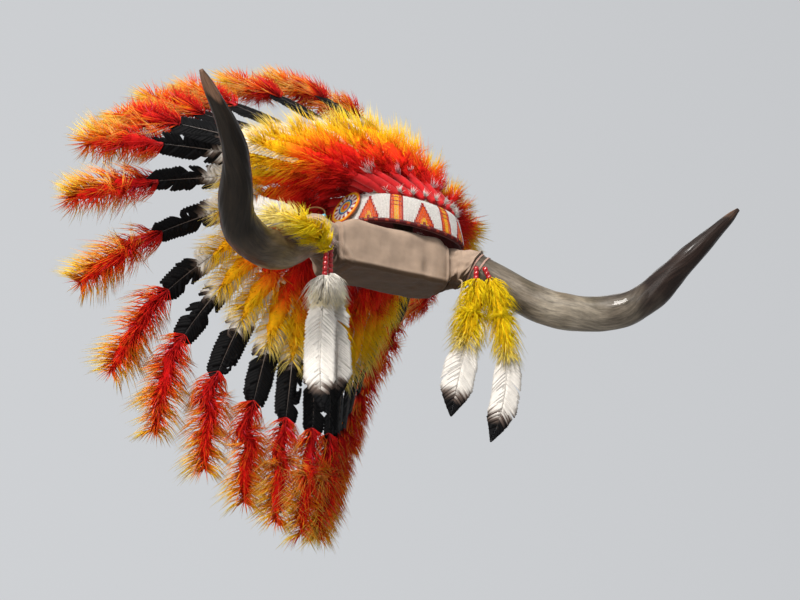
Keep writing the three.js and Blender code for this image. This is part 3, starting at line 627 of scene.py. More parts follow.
def crown_feather(node, number, fan_middle, foot_near, rng):
    """One feather of the crown: wrap, base down, vane with its shaft, and the plume tied to its tip."""
    colours, sizes = bpy.context.scene.headdress_colours, bpy.context.scene.headdress_sizes
    quill = Quill(node, foot_near, fan_middle)
    shaft_long = 0.66 * quill.long
    shift = rng.normal(0, 0.02)
    warmer = np.interp(number, [6, 9], [0.0, 0.05])
    down_places = np.array([0.12, 0.3, 0.38, 0.45, 0.53, 0.64, 0.74]) + shift + warmer
    down_colours = [colours.deep_red, colours.red, colours.red_orange, colours.orange, colours.yellow,
                    colours.yellow, colours.pale_yellow]
    plume_places = [0.1, 0.34, 0.48, 0.6, 0.76, 1.0]
    plume_colours = [colours.deep_red, colours.red, colours.red_orange, colours.orange, colours.yellow,
                     colours.pale_yellow]
    vane_places = np.array([0.4, 0.56, 0.72, 0.745, 0.77, 0.83]) + shift
    vane_colours = [colours.pale_yellow, colours.white, colours.white, colours.brown, colours.black,
                    colours.black]

    def down_tint(distance, flank, jitter):
        return ramp(down_places, down_colours, distance / shaft_long + 0.07 * flank + 0.022 * jitter)

    def plume_tint(distance, flank, jitter):
        share = (distance - shaft_long) / (quill.long - shaft_long)
        tint = ramp(plume_places, plume_colours, 0.4 * share + 0.9 * flank + 0.06 * jitter)
        return np.where((jitter > 1.8)[..., None], 0.3 * tint + 0.7 * np.array(colours.rose), tint)

    def vane_tint(distance, across, jitter):
        return ramp(vane_places, vane_colours, distance / shaft_long + 0.02 * across + 0.016 * jitter)

    base = (np.interp(number, [4, 8], [0.15, 0.05]) * shaft_long,
            np.interp(number, [6, 9], [0.64, 0.7]) * shaft_long)
    tip = (0.965 * shaft_long, quill.long - 0.026)
    low = np.interp(number, [5, 7], [0.3, 0.75])
    base_profile = ([0, 0.12, 0.35, 0.7, 0.92, 1.0], [low, 0.35 + low, 1.0, 1.0, 0.85, 0.55])
    tip_profile = ([0, 0.08, 0.25, 0.6, 0.85, 1.0], [0.62, 0.84, 0.97, 1.0, 0.98, 0.72])
    stand_off = np.interp(number, [3, 7], [1.45, 1.15])
    fuller = np.interp(number, [5, 8], [1.0, 1.28])
    down_reach = (sizes.down_reach * fuller, sizes.down_reach * stand_off)
    plume_reach = (sizes.plume_reach, sizes.plume_reach * 0.64)
    vane_span = (0.42 * shaft_long, 1.0 * shaft_long)
    outline = ([0, 0.3, 0.7, 0.88, 1.0], [0.85, 1.0, 1.0, 0.85, 0.3])
    shaft_colours = [colours.white, colours.white, colours.white, colours.brown, colours.black]
    wisp_at = quill.at(np.array([rng.uniform(0.13, 0.25) * shaft_long]))[0]
    wisp_way = quill.axes(np.array([0.1]))[0][0] + rng.normal(0, 0.45) * quill.axes(np.array([0.1]))[1][0]
    wisp_size, wisp_white = rng.uniform(0.45, 1.25), rng.uniform(0.25, 0.85)
    curled = [(rng.choice([-1, 1]), low, low + rng.uniform(0.05, 0.12), rng.choice([-3.2, 2.4]))
              for low in rng.uniform(0.45, 0.92, 3)] if number > 5 else []
    parts = [
        wrap(quill, (0, 0.2 * shaft_long), 0.0058, colours.wrap_red, rng),
        puff(wisp_at + quill.over * 0.006, quill.over + wisp_way, rng, 0.02 * wisp_size, 18,
             wisp_white * np.array(tuple(colours.white)) + (1 - wisp_white) * np.array(tuple(colours.rose))),
        core(quill, base, down_reach, base_profile, down_tint, 0.3),
        down(quill, rng, sizes.down_barbs, base, down_reach, 0.03, base_profile, down_tint, sizes.barb_thick),
        web(quill, rng, sizes.web_strips, vane_span, 0.021, outline, vane_tint, curled=curled),
        shaft(quill, (0.15 * shaft_long, shaft_long), (0.0012, 0.0004), shaft_colours),
        core(quill, tip, plume_reach, tip_profile, plume_tint, 0.18),
        down(quill, rng, sizes.plume_barbs, tip, plume_reach, 0.025, tip_profile, plume_tint,
             1.25 * sizes.barb_thick),
        wrap(quill, (0.965 * shaft_long, 1.02 * shaft_long), 0.0026, colours.deep_red, rng),
        puff(quill.at(np.array([0.001]))[0] + quill.over * 0.005, quill.over, rng, 0.01, 36, colours.white),
    ]
    make_piece(f"dressed_{node}", parts, [node])


def drop_feather(node, plan, rng):
    """One feather of a drop, after its plan: down, vane and shaft."""
    colours, sizes = bpy.context.scene.headdress_colours, bpy.context.scene.headdress_sizes
    quill = Quill(node, np.array(plan["foot"]), np.array([0.0, 2.0, 0.0]))
    long = quill.long

    def down_tint(distance, flank, jitter):
        return ramp(*plan["down"], distance / long + 0.02 * flank + 0.02 * jitter)

    def vane_tint(distance, across, jitter):
        return ramp(*plan["vane"], distance / long + 0.02 * across + 0.014 * jitter)

    base = (plan.get("down_start", 0.0) * long, plan["down_end"] * long)
    profile = ([0, 0.05, 0.2, 0.5, 0.9, 1.0], [0.95, 1.12, 1.2, 1.15, 1.0, 0.8])
    reach = (plan["half"] * 1.16, plan["half"] * 0.7)
    taper = plan.get("taper", 0.66)
    outline = ([0, 0.15, taper, 0.6 * taper + 0.4, 0.3 * taper + 0.7, 1.0], [0.6, 0.95, 1.0, 0.66, 0.36, 0.05])
    shaft_end = 0.86 * long
    parts = [
        core(quill, base, reach, profile, down_tint, plan.get("core", 0.32)),
        down(quill, rng, plan["barbs"], base, reach, 0.022, profile, down_tint, sizes.barb_thick, rise=0.3),
        web(quill, rng, 52, (plan["vane_start"] * long, 0.965 * long), plan["half"], outline, vane_tint,
            sweep=0.7),
        shaft(quill, (0.01 * long, shaft_end), (0.0014, 0.0003), [colours.white, colours.white, colours.white,
                                                                  colours.brown]),
    ]
    if "fringe" in plan:
        behind = (0.12 * long, plan["fringe"] * long)
        yellow = ([0, 1], [colours.yellow, colours.yellow])
        parts.append(down(quill, rng, 420, behind, (plan["half"] * 1.35, 0.006), 0.022, ([0, 1], [1, 1]),
                          lambda distance, flank, jitter: ramp(*yellow, 0.5 + 0 * (distance + flank + jitter)),
                          sizes.barb_thick, lean=-1.4, rise=0.5))
    make_piece(f"dressed_{node}", parts, [node])


def horn(node, tint_at, rng):
    """A horn: its rings skinned smoothly, with soft ridges along it."""
    rings, _ = layers(node, np.array([0.0, -0.038, 0.03]))
    columns = len(rings[0])
    centres = np.array([ring.mean(0) for ring in rings])
    run = unit(np.gradient(centres, axis=0))
    ordered = []
    for ring, centre, along in zip(rings, centres, run):
        upward = unit(square_to(np.array([0.0, 0.0, 1.0]), along))
        sideways = np.cross(upward, along)
        offset = ring - centre
        turn = np.arctan2(offset @ sideways, offset @ upward)
        ordered.append(ring[np.argsort(turn)])
    knots = np.concatenate([[0], np.cumsum(np.linalg.norm(np.diff(centres, axis=0), axis=1))])
    distance = np.linspace(0, knots[-1], 150)
    grid = through(knots, np.array([around(ring, columns * 5) for ring in ordered]), distance)
    middle = grid.mean(1, keepdims=True)
    offset = grid - middle
    radius = np.linalg.norm(offset, axis=-1, keepdims=True)
    angle = np.linspace(0, 2 * math.pi, columns * 5, endpoint=False)[None, :]
    share = (distance / knots[-1])[:, None]
    grain = np.stack([distance[:, None] * np.ones_like(angle), 0.02 * np.cos(angle) * np.ones_like(share),
                      0.02 * np.sin(angle) * np.ones_like(share)], -1)
    ridges = swell(grain * np.array([0.12, 1, 1]), rng, 0.006)[..., None] * 0.0004
    grid = middle + offset * (1 + ridges / np.maximum(radius, 0.002))
    tint = tint_at(share + 0 * angle, angle + 0 * share, swell(grain, rng, 0.05))
    return skinned(grid, "horn", np.clip(tint, 0, 1), grain)


class HEADDRESS_OT_horns(bpy.types.Operator):
    """Make both horns: the left one charcoal with a tan root, the right one pale with a dark tip"""

    bl_idname = "headdress.horns"
    bl_label = "Horns"

    def execute(self, context):
        colours = context.scene.headdress_colours
        rng = np.random.default_rng(11)
        tan, olive = paint(112, 94, 66), paint(84, 74, 52)
        grey, pale_grey = paint(118, 108, 95), paint(154, 144, 128)
        dark_brown, tip_brown = paint(46, 34, 29), paint(112, 84, 66)

        def dark(share, angle, uneven):
            tone = ramp([0, 0.12, 0.3, 0.42, 0.56, 0.95, 1.0],
                        [olive, tan, tan, colours.horn_brown, colours.horn_dark, colours.horn_dark, tip_brown],
                        share + 0.09 * uneven)
            # painted light and shade: the horn is made up to 12 per cent lighter on one side round it and as much
            # darker on the opposite side
            return tone * (1 + 0.12 * np.cos(angle))[..., None]

        def pale(share, angle, uneven):
            upper = ramp([0, 0.15, 0.34, 0.5, 0.64, 0.96, 1.0],
                         [grey, grey, pale_grey, grey, dark_brown, dark_brown, tip_brown],
                         share + 0.05 * uneven)
            lower = ramp([0, 0.13, 0.28, 0.38, 0.5, 0.96, 1.0],
                         [colours.horn_brown, olive, tan, olive, dark_brown, colours.horn_dark, tip_brown],
                         share + 0.07 * uneven)
            # partly the horn's own colours and partly painted light: the lighter grey ramp lies on one side round the
            # horn as painted highlight, the darker brown ramp on the opposite side as painted shade
            blend = np.clip(0.5 + 0.8 * np.cos(angle - 0.5) + 0.35 * uneven, 0, 1)[..., None]
            return upper * blend + lower * (1 - blend)

        make_piece("dressed_horn_left", [horn("horn_left", dark, rng)], ["horn_left"])
        make_piece("dressed_horn_right", [horn("horn_right", pale, rng)], ["horn_right"])
        return {"FINISHED"}


class HEADDRESS_OT_block(bpy.types.Operator):
    """Wrap the block in soft leather, with pleats where it gathers into the sleeves"""

    bl_idname = "headdress.block"
    bl_label = "Leather block"

    def execute(self, context):
        colours = context.scene.headdress_colours
        rng = np.random.default_rng(23)
        rings, _ = layers("leather_block", np.array([-0.2, 0.0, 0.03]))
        centres = np.array([ring.mean(0) for ring in rings])
        run = unit(np.gradient(centres, axis=0))
        shares = np.linspace(0, 1, 112, endpoint=False)
        outlines = []
        for ring, centre, along in zip(rings, centres, run):
            upward = unit(square_to(np.array([0.0, 0.0, 1.0]), along))
            forward = np.cross(upward, along)
            offset = ring - centre
            turn = np.arctan2(offset @ upward, offset @ forward) % (2 * math.pi)
            ring = ring[np.argsort(turn)]
            loop = np.concatenate([ring, ring[:1]])
            steps = np.concatenate([[0], np.cumsum(np.linalg.norm(np.diff(loop, axis=0), axis=1))])
            places = shares * steps[-1]
            outlines.append(np.stack([np.interp(places, steps, loop[:, axis]) for axis in range(3)], -1))
        knots = np.concatenate([[0], np.cumsum(np.linalg.norm(np.diff(centres, axis=0), axis=1))])
        distance = np.linspace(0, knots[-1], 180)
        grid = through(knots, np.array(outlines), distance)
        for _ in range(3):
            grid = (np.roll(grid, 1, 1) + 2 * grid + np.roll(grid, -1, 1)) / 4
        slope_along = np.gradient(grid, axis=0)
        slope_round = np.roll(grid, -1, 1) - np.roll(grid, 1, 1)
        normal = unit(np.cross(slope_round, slope_along))
        middle = grid.mean(1, keepdims=True)
        normal *= np.sign((normal * (grid - middle)).sum(-1, keepdims=True).mean())
        x, y, z = np.moveaxis(grid, -1, 0)
        lean = (middle - grid) @ np.array([0, 1, 1]) * (np.abs(x) < 0.084)
        edge = np.exp(-(((lean.max(1, keepdims=True) - lean) / 0.0018) ** 2)) * (np.abs(x) < 0.082)
        relief = 0.0022 * edge + 0.0007 * swell(grid, rng, 0.05) + 0.00025 * swell(grid, rng, 0.014)
        ends = np.exp(-(((np.abs(x) - 0.1) / 0.014) ** 2))
        relief += ends * 0.0016 * swell(grid * np.array([0.35, 1, 1]), rng, 0.016)
        sleeve = 1 / (1 + np.exp(-(np.abs(x) - 0.104) / 0.003))
        relief += sleeve * 0.0009 * swell(grid * np.array([2.2, 0.6, 0.6]), rng, 0.012)
        dent = np.exp(-(((x - 0.045) / 0.007) ** 2) - ((z - 0.014) / 0.013) ** 2) * (y < 0)
        relief -= 0.0034 * dent
        slant = x + 0.072 + 0.6 * (z - 0.01)
        low_corner = np.exp(-(((z - 0.012) / 0.014) ** 2)) * (y < 0)
        relief += (0.003 * np.exp(-((slant / 0.0035) ** 2)) - 0.0022 * np.exp(-(((slant + 0.008) / 0.003) ** 2))) * (
            low_corner
        )
        end_fold = np.abs(x) - 0.083
        relief += (0.0024 * np.exp(-((end_fold / 0.0018) ** 2)) - 0.002 * np.exp(-(((end_fold - 0.005) / 0.0022) ** 2))) * (
            y < 0
        )
        grid = grid + normal * relief[..., None]
        uneven = swell(grid, rng, 0.03)
        # uneven gives the leather its own blotchy tone; the relief term is painted shade, darker in the dent and folds,
        # and painted highlight, lighter on the raised edge and ridges
        tone = np.array(tuple(colours.leather)) * (1 + 0.09 * uneven + 70 * np.minimum(relief, 0.001))[..., None]
        # painted shade: faces that turn downwards are darkened towards UNDERSIDE_SHADE of the leather's colour
        under = np.clip((-normal[..., 2] - 0.42) / 0.15, 0, 1)[..., None]
        tone = tone * (1 - under * (1 - np.array(UNDERSIDE_SHADE)))
        make_piece("dressed_leather_block", [skinned(grid, "suede", np.clip(tone, 0, 1))],
                   ["leather_block"])
        return {"FINISHED"}


def barrel_beads(centres, axis, outward_way, radius, half_long, material, tint, sides=5):
    """Small closed barrels, one for each centre: two rings and two poles along the axis."""
    third = np.cross(axis, outward_way)
    angle = np.arange(sides) * 2 * math.pi / sides
    circle = np.cos(angle)[None, :, None] * outward_way[:, None] + np.sin(angle)[None, :, None] * third[:, None]
    rings = [centres[:, None] + sign * half_long * 0.62 * axis[:, None] + radius * circle for sign in (-1, 1)]
    poles = np.stack([centres - half_long * axis, centres + half_long * axis], 1)
    points = np.concatenate([*rings, poles], 1)
    template = outward(points[0], skin_faces(2, sides))
    faces = (template[None] + points.shape[1] * np.arange(len(centres))[:, None, None]).reshape(-1, 3)
    return Part(points, faces, material, np.repeat(tint[:, None], points.shape[1], 1))


def strip(crown, turns, section, material, tint):
    """A strip round the cap: a closed outline of (height, distance out) carried from one turn to the last."""
    up, out = np.array(section).T
    grid = crown.at(turns[:, None], up[None], out[None]).reshape(len(turns), len(up), 3)
    return skinned(grid, material, tint)


class HEADDRESS_OT_cap(bpy.types.Operator):
    """Make the felt cap as a smooth shell, and give the hidden peg its wood"""

    bl_idname = "headdress.cap"
    bl_label = "Felt cap"

    def execute(self, context):
        colours = context.scene.headdress_colours
        crown = Crown()
        wall = 0.0025
        turn = np.linspace(0, 2 * math.pi, 120, endpoint=False)
        up = np.concatenate([np.linspace(0, 0.97 * crown.heights[-1], 34)])
        rows = [crown.at(turn, height, 0.0) for height in up[::-1]]
        rows += [crown.at(turn, height, -wall) for height in up]
        grid = np.array(rows)
        rng = np.random.default_rng(31)
        grid = grid + 0.0003 * swell(grid, rng, 0.02)[..., None]
        make_piece("dressed_crown_cap", [skinned(grid, "felt", np.array(tuple(colours.cap_red)))],
                   ["crown_cap"])
        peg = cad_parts["crown_peg"]
        peg.data.materials[0] = bpy.data.materials["peg_wood"]
        return {"FINISHED"}


BAND_LOW, BAND_HIGH, BAND_OUT = 0.004, 0.043, 0.0033
MOTIF_PITCH = 0.037


def band_colours(along, share, colours):
    """The beadwork's colours: along is metres from the brow, share 0 to 1 up the band.

    A stripe stands at the brow and at every second pitch, and a triangle between each two of them.
    """
    place = along / MOTIF_PITCH
    nearest = np.round(place)
    away = np.abs(place - nearest) * MOTIF_PITCH
    triangle = nearest % 2 != 0
    half = 0.0148 * np.clip(1 - (share - 0.03) / 0.9, 0, 1)
    inner = 0.0045 * np.clip(1 - share / 0.34, 0, 1)
    tint = np.broadcast_to(np.array(tuple(colours.bead_white)), (*along.shape, 3)).copy()
    shown = np.abs(nearest) <= 3

    def put(where, colour):
        tint[where & shown] = tuple(colour)

    body = triangle & (away < half) & (share < 0.93)
    put(body, colours.bead_red)
    put(triangle & (away < half - 0.0023) & (share > 0.05), colours.bead_orange)
    put(triangle & (away < inner + 0.001) & (share < 0.3), colours.bead_yellow)
    put(triangle & (away < 0.0012) & (share < 0.12), colours.bead_red)
    stripe = ~triangle
    put(stripe & (away < 0.0082), colours.bead_red)
    put(stripe & (away < 0.0062), colours.bead_orange)
    put(stripe & (away < 0.0022), colours.bead_yellow)
    rung = (share * 6.5 + 0.25) % 1 < 0.16
    put(stripe & rung & (away < 0.0062), colours.bead_red)
    return tint


class HEADDRESS_OT_band(bpy.types.Operator):
    """Bead the browband, row by row, and bind its lower edge with a stitched cord"""

    bl_idname = "headdress.band"
    bl_label = "Beaded browband"

    def execute(self, context):
        colours, sizes = context.scene.headdress_colours, context.scene.headdress_sizes
        crown = Crown()
        rng = np.random.default_rng(41)
        band, _ = merged("browband")
        away = band[:, :2] - crown.middle[:2]
        front = unit((band.mean(0) - crown.middle)[:2])
        turn = np.arctan2(front[0] * away[:, 1] - front[1] * away[:, 0], away @ front)
        half_turn = np.abs(turn).max()
        turns = np.linspace(-half_turn, half_turn, 150)
        near, far = 0.0003, BAND_OUT - 0.0006
        section = [(BAND_LOW, near), (BAND_LOW, far - 0.0005), (BAND_LOW + 0.0006, far)]
        section += [(height, far) for height in np.linspace(BAND_LOW + 0.002, BAND_HIGH - 0.002, 12)]
        section += [(BAND_HIGH - 0.0006, far), (BAND_HIGH, far - 0.0005), (BAND_HIGH, near)]
        section += [(height, near) for height in np.linspace(BAND_HIGH - 0.002, BAND_LOW + 0.002, 12)]
        backing = strip(crown, turns, section, "felt", np.array(paint(214, 204, 192)))
        reach = np.linalg.norm(crown.at(0.0, 0.02)[0] - crown.middle * [1, 1, 0] - crown.at(0.0, 0.02)[0] * [0, 0, 1])
        columns = int(2 * half_turn * reach / sizes.bead_wide)
        rows = int((BAND_HIGH - BAND_LOW) / sizes.bead_long)
        across = (np.arange(columns) + 0.5) / columns * 2 - 1
        share = (np.arange(rows) + 0.5) / rows
        turn, share = (value.ravel() for value in np.meshgrid(across * half_turn * 0.995, share, indexing="ij"))
        up = BAND_LOW + share * (BAND_HIGH - BAND_LOW)
        jitter = rng.normal(0, 0.00008, (3, len(up)))
        centres = crown.at(turn + jitter[0] / reach, up + jitter[1], BAND_OUT - 0.0002 + jitter[2])
        axis = unit(crown.face(turn, up + 0.001) - crown.face(turn, up - 0.001))
        tint = band_colours(turn * reach, share, colours) * rng.uniform(0.88, 1.04, (len(up), 1))
        beads = barrel_beads(centres, axis, crown.normal(turn, up), sizes.bead_wide * 0.5, sizes.bead_long * 0.49,
                             "seed_bead", np.clip(tint, 0, 1))
        make_piece("dressed_browband", [backing, beads], ["browband"])
        turns = np.linspace(-half_turn, half_turn, 620)
        angle = np.linspace(0, 2 * math.pi, 10, endpoint=False)
        twist = 1 + 0.16 * np.cos(2 * (angle[None] - turns[:, None] * reach / 0.0011))
        up = 0.00195 + 0.0018 * twist * np.sin(angle)
        out = 0.0021 + 0.0017 * twist * np.cos(angle)
        grid = crown.at(turns[:, None] + 0 * angle, np.maximum(up, 0.0), out).reshape(620, 10, 3)
        grid[..., 2] += np.minimum(up, 0)
        thread = (np.sin(turns * reach / 0.0011 * 0.5) > 0.55)[:, None]
        tone = np.where(thread[..., None], np.array(paint(168, 60, 40)), np.array(tuple(colours.binding)))
        make_piece("dressed_band_binding", [skinned(grid, "cord", tone + 0 * grid)], ["band_binding"])
        return {"FINISHED"}


class HEADDRESS_OT_rosettes(bpy.types.Operator):
    """Bead both rosettes in rings round a middle bead"""

    bl_idname = "headdress.rosettes"
    bl_label = "Rosettes"

    def execute(self, context):
        colours, sizes = context.scene.headdress_colours, context.scene.headdress_sizes
        crown = Crown()
        rng = np.random.default_rng(53)
        for node in ("rosette_left", "rosette_right"):
            points, _ = merged(node)
            middle = points.mean(0)
            spread, turns = np.linalg.svd(points - middle, full_matrices=False)[1:]
            normal = turns[2] * np.sign(turns[2] @ (middle - crown.middle))
            radius = np.linalg.norm(points - middle, axis=1).max()
            height = (points - middle) @ normal
            first, second = turns[0], np.cross(normal, turns[0])
            pitch = sizes.bead_wide * 0.86
            count = int(radius / pitch)
            centres, axes, tints = [middle[None] + normal * height.max()], [first[None]], [
                np.array([tuple(colours.bead_violet)])]
            ring_ends = [0.09, 0.24, 0.37, 0.43, 0.5]
            ring_colours = [colours.bead_violet, colours.bead_orange, colours.bead_yellow, colours.bead_cyan,
                            colours.bead_blue]
            for ring in range(1, count + 1):
                along = ring * pitch
                number = int(2 * math.pi * along / (sizes.bead_long * 1.02))
                angle = (np.arange(number) + 0.5 * (ring % 2)) * 2 * math.pi / number
                away = np.cos(angle)[:, None] * first + np.sin(angle)[:, None] * second
                sag = 0.0009 * (along / radius) ** 2
                centres.append(middle + normal * (height.max() - sag) + away * along)
                axes.append(-np.sin(angle)[:, None] * first + np.cos(angle)[:, None] * second)
                ray = np.abs((angle * 14 / (2 * math.pi)) % 1 - 0.5) * 2
                share = along / radius
                if share < ring_ends[-1]:
                    inner = ring_colours[int(np.searchsorted(ring_ends, share))]
                    tone = np.broadcast_to(np.array(tuple(inner)), (number, 3))
                elif share < 0.84:
                    dart = 0.74 * (share - ring_ends[-1]) / (0.84 - ring_ends[-1])
                    tone = np.where((ray < dart)[:, None], np.array(tuple(colours.bead_red)),
                                    np.array(tuple(colours.bead_white)))
                else:
                    edge = colours.bead_yellow if share < 0.93 else colours.bead_orange
                    tone = np.broadcast_to(np.array(tuple(edge)), (number, 3))
                tints.append(tone)
            centres, axes, tints = np.concatenate(centres), np.concatenate(axes), np.concatenate(tints)
            tints = np.clip(tints * rng.uniform(0.9, 1.05, (len(tints), 1)), 0, 1)
            facing = np.broadcast_to(normal, centres.shape)
            beads = barrel_beads(centres, axes, facing, sizes.bead_wide * 0.46, sizes.bead_long * 0.5,
                                 "seed_bead", tints)
            angle = np.linspace(0, 2 * math.pi, 60, endpoint=False)
            circle = np.cos(angle)[:, None] * first + np.sin(angle)[:, None] * second
            outline = [(0.3, height.min()), (1.0, height.min()), (1.015, height.min() + 0.0012),
                       (0.99, height.max() - 0.001), (0.3, height.max() - 0.0004)]
            grid = np.array([middle + normal * level + circle * radius * share for share, level in outline])
            backing = skinned(grid, "felt", np.array(paint(150, 96, 60)))
            make_piece(f"dressed_{node}", [backing, beads], [node])
        return {"FINISHED"}


class HEADDRESS_OT_crown_feathers(bpy.types.Operator):
    """Make the fan of crown feathers, each over its own node"""

    bl_idname = "headdress.crown_feathers"
    bl_label = "Crown feathers"

    def execute(self, context):
        cap = np.array([np.array(corner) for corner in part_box("crown_cap")]).mean(0)
        ends = np.array([np.array(corner) for node in CROWN_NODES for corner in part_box(node)])
        fan_middle = ends.mean(0)
        for place, node in enumerate(CROWN_NODES):
            crown_feather(node, place % 14 + 1, fan_middle, cap, np.random.default_rng(100 + place))
        return {"FINISHED"}


class HEADDRESS_OT_drops(bpy.types.Operator):
    """Make the bead strings and the feathers that hang from them"""

    bl_idname = "headdress.drops"
    bl_label = "Drops"

    def execute(self, context):
        colours = context.scene.headdress_colours
        rng = np.random.default_rng(61)
        bright = paint(255, 220, 12)
        yellow = ([0, 0.3, 0.44, 0.52], [bright, bright, bright, colours.pale_yellow])
        cream = ([0, 0.1, 0.2, 0.4], [paint(246, 241, 232), paint(246, 241, 232), paint(242, 228, 186), colours.white])
        tipped = ([0.3, 0.78, 0.83, 0.87], [colours.white, colours.white, colours.brown, colours.black])
        over_tip = ([0.3, 0.74, 0.78, 0.82], [paint(198, 192, 184), paint(198, 192, 184), colours.brown, colours.black])
        plans = {
            "right_inner": dict(down=yellow, vane=tipped, down_end=0.48, vane_start=0.42, half=0.025, barbs=1250,
                                taper=0.46),
            "right_outer": dict(down=yellow, vane=tipped, down_end=0.48, vane_start=0.42, half=0.022, barbs=1250,
                                taper=0.54),
            "left_outer": dict(down=cream, vane=tipped, down_end=0.13, vane_start=0.03, half=0.022, barbs=560,
                               core=0.2),
            "left_inner": dict(down=cream, vane=tipped, down_end=0.16, vane_start=0.06, half=0.02, barbs=560,
                               core=0.2, fringe=0.6),
            "over_horn": dict(down=yellow, vane=over_tip, down_end=0.6, vane_start=0.44, half=0.022, barbs=1100,
                              down_start=0.2, core=0.25),
        }
        for place, plan in plans.items():
            node = f"drop_feather_{place}"
            low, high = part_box(node)
            plan["foot"] = (0.0, -0.05, 0.03) if place == "over_horn" else (*((low + high) / 2)[:2], high[2])
            drop_feather(node, plan, rng)
        for place in ("right_inner", "right_outer", "left_outer", "left_inner"):
            self.string(f"beads_{place}", rng)
        return {"FINISHED"}

    def string(self, node, rng):
        """A string of rounded glass beads from the top of its node to the bottom."""
        points, _ = merged(node)
        top, bottom = points[points[:, 2].argmax()], points[points[:, 2].argmin()]
        middle = points.mean(0)
        axis = unit(np.linalg.svd(points - middle, full_matrices=False)[2][0])
        axis = axis * np.sign(axis @ (bottom - top))
        along = (points - middle) @ axis
        first, last = along.min(), along.max()
        radius = np.linalg.norm(points - middle - along[:, None] * axis, axis=1).max()
        count = max(1, round((last - first) / (2 * radius)))
        colour = np.array(tuple(bpy.context.scene.headdress_colours.bead_red))
        side = unit(np.cross(axis, [0.2, 1.0, 0.1]))
        over = np.cross(side, axis)
        angle = np.linspace(0, 2 * math.pi, 24, endpoint=False)
        circle = np.cos(angle)[:, None] * side + np.sin(angle)[:, None] * over
        around_bead = np.linspace(0.06, 0.94, 13) * math.pi
        half = (last - first) / count / 2
        parts = []
        for bead in range(count):
            centre = middle + axis * (first + (2 * bead + 1) * half)
            profile = [(-math.cos(a) * half * 0.96, radius * (0.42 + 0.58 * math.sin(a) ** 0.7)) for a in around_bead]
            grid = np.array([centre + axis * step + circle * wide for step, wide in profile])
            parts.append(skinned(grid, "crow_bead", colour * rng.uniform(0.85, 1.15)))
        make_piece(f"dressed_{node}", parts, [node])


def closed_tube(path, radius, material, tint, sides=8):
    """A ring-shaped tube along a closed path: round sections square to it, joined last to first."""
    count = len(path)
    run = unit(np.roll(path, -1, 0) - np.roll(path, 1, 0))
    middle = path.mean(0)
    side = unit(square_to(path - middle, run))
    over = np.cross(run, side)
    angle = np.linspace(0, 2 * math.pi, sides, endpoint=False)
    circle = np.cos(angle)[None, :, None] * side[:, None] + np.sin(angle)[None, :, None] * over[:, None]
    points = (path[:, None] + radius * circle).reshape(-1, 3)
    row, column = np.meshgrid(np.arange(count), np.arange(sides), indexing="ij")
    after, beside = (row + 1) % count, (column + 1) % sides
    corners = [row * sides + column, row * sides + beside, after * sides + beside, after * sides + column]
    faces = np.stack(corners, -1).reshape(-1, 4)
    triangles = np.concatenate([faces[:, [0, 1, 2]], faces[:, [0, 2, 3]]])
    return Part(points, outward(points, triangles), material, np.array(tint))


class HEADDRESS_OT_ties(bpy.types.Operator):
    """Tie the drops to the horns, and add the thong loop with its bead, a tuft and the hanging thong"""

    bl_idname = "headdress.ties"
    bl_label = "Ties and thongs"

    def execute(self, context):
        colours = context.scene.headdress_colours
        rng = np.random.default_rng(71)
        parts = []
        for node, places in (("horn_left", (0.0015, 0.0102)), ("horn_right", (0.0023, 0.0118))):
            rings, _ = layers(node, np.array([0.0, -0.038, 0.03]))
            centres = np.array([ring.mean(0) for ring in rings])
            run = unit(np.gradient(centres, axis=0))
            upward = unit(square_to(np.array([0.0, 0.0, 1.0]), run))
            forward = np.cross(upward, run)
            offsets = [ring - centre for ring, centre in zip(rings, centres)]
            radius = np.array([np.linalg.norm(offset, axis=1).mean() for offset in offsets])
            knots = np.concatenate([[0], np.cumsum(np.linalg.norm(np.diff(centres, axis=0), axis=1))])
            angle = np.linspace(0, 2 * math.pi, 48, endpoint=False)
            for place in places:
                for turn in (-0.5, 0.5):
                    at = np.array([place + turn * 0.0013])
                    centre, size = through(knots, centres, at), through(knots, radius, at)[0] + 0.0008
                    aside, rise = through(knots, forward, at), through(knots, upward, at)
                    path = centre + size * (np.cos(angle)[:, None] * aside + np.sin(angle)[:, None] * rise)
                    parts.append(closed_tube(path, 0.0006, "cord", paint(214, 176, 160)))
        foot = np.array([-0.118, -0.026, 0.0583])
        toward = unit(np.array([0.86, -0.51, 0.0]))
        angle = np.linspace(0, 2 * math.pi, 40, endpoint=False)
        rise = unit(np.array([-0.1, -0.17, 0.98]))
        middle = foot + rise * 0.0086
        loop = middle + 0.0125 * np.cos(angle)[:, None] * toward + 0.0075 * np.sin(angle)[:, None] * rise
        parts.append(closed_tube(loop, 0.0011, "cord", paint(120, 78, 36)))
        bead = middle + 0.0095 * toward - 0.005 * rise
        slope = unit(0.8 * toward + 0.6 * rise)
        steps = np.linspace(-0.0045, 0.0045, 9)
        parts.append(tube(bead + steps[:, None] * slope, 0.0032 * (1 - (steps / 0.0064) ** 2), "crow_bead",
                          colours.bead_cyan, sides=14))
        parts.append(puff(np.array([-0.1187, -0.0612, 0.0215]), np.array([0.05, -0.5, -0.8]), rng, 0.026, 110,
                          paint(236, 212, 204), spread=0.7))
        make_piece("ties_and_loop", parts)
        self.thong()
        return {"FINISHED"}

    def thong(self):
        """The thong that hangs from the right sleeve: a tube along a slack curve of known length."""
        knots = np.array([[0.1, -0.0395, 0.01], [0.1, -0.046, 0.006], [0.098, -0.048, -0.006],
                          [0.0962, -0.047, -0.019], [0.0965, -0.046, -0.031]])
        steps = np.concatenate([[0], np.cumsum(np.linalg.norm(np.diff(knots, axis=0), axis=1))])
        path = through(steps, knots, np.linspace(0, steps[-1], 24))
        thick = 0.0026
        piece = make_piece("hanging_thong", [tube(path, thick / 2, "cord", paint(186, 160, 128), sides=10,
                                                  reference=(0.0, 1.0, 0.2))])


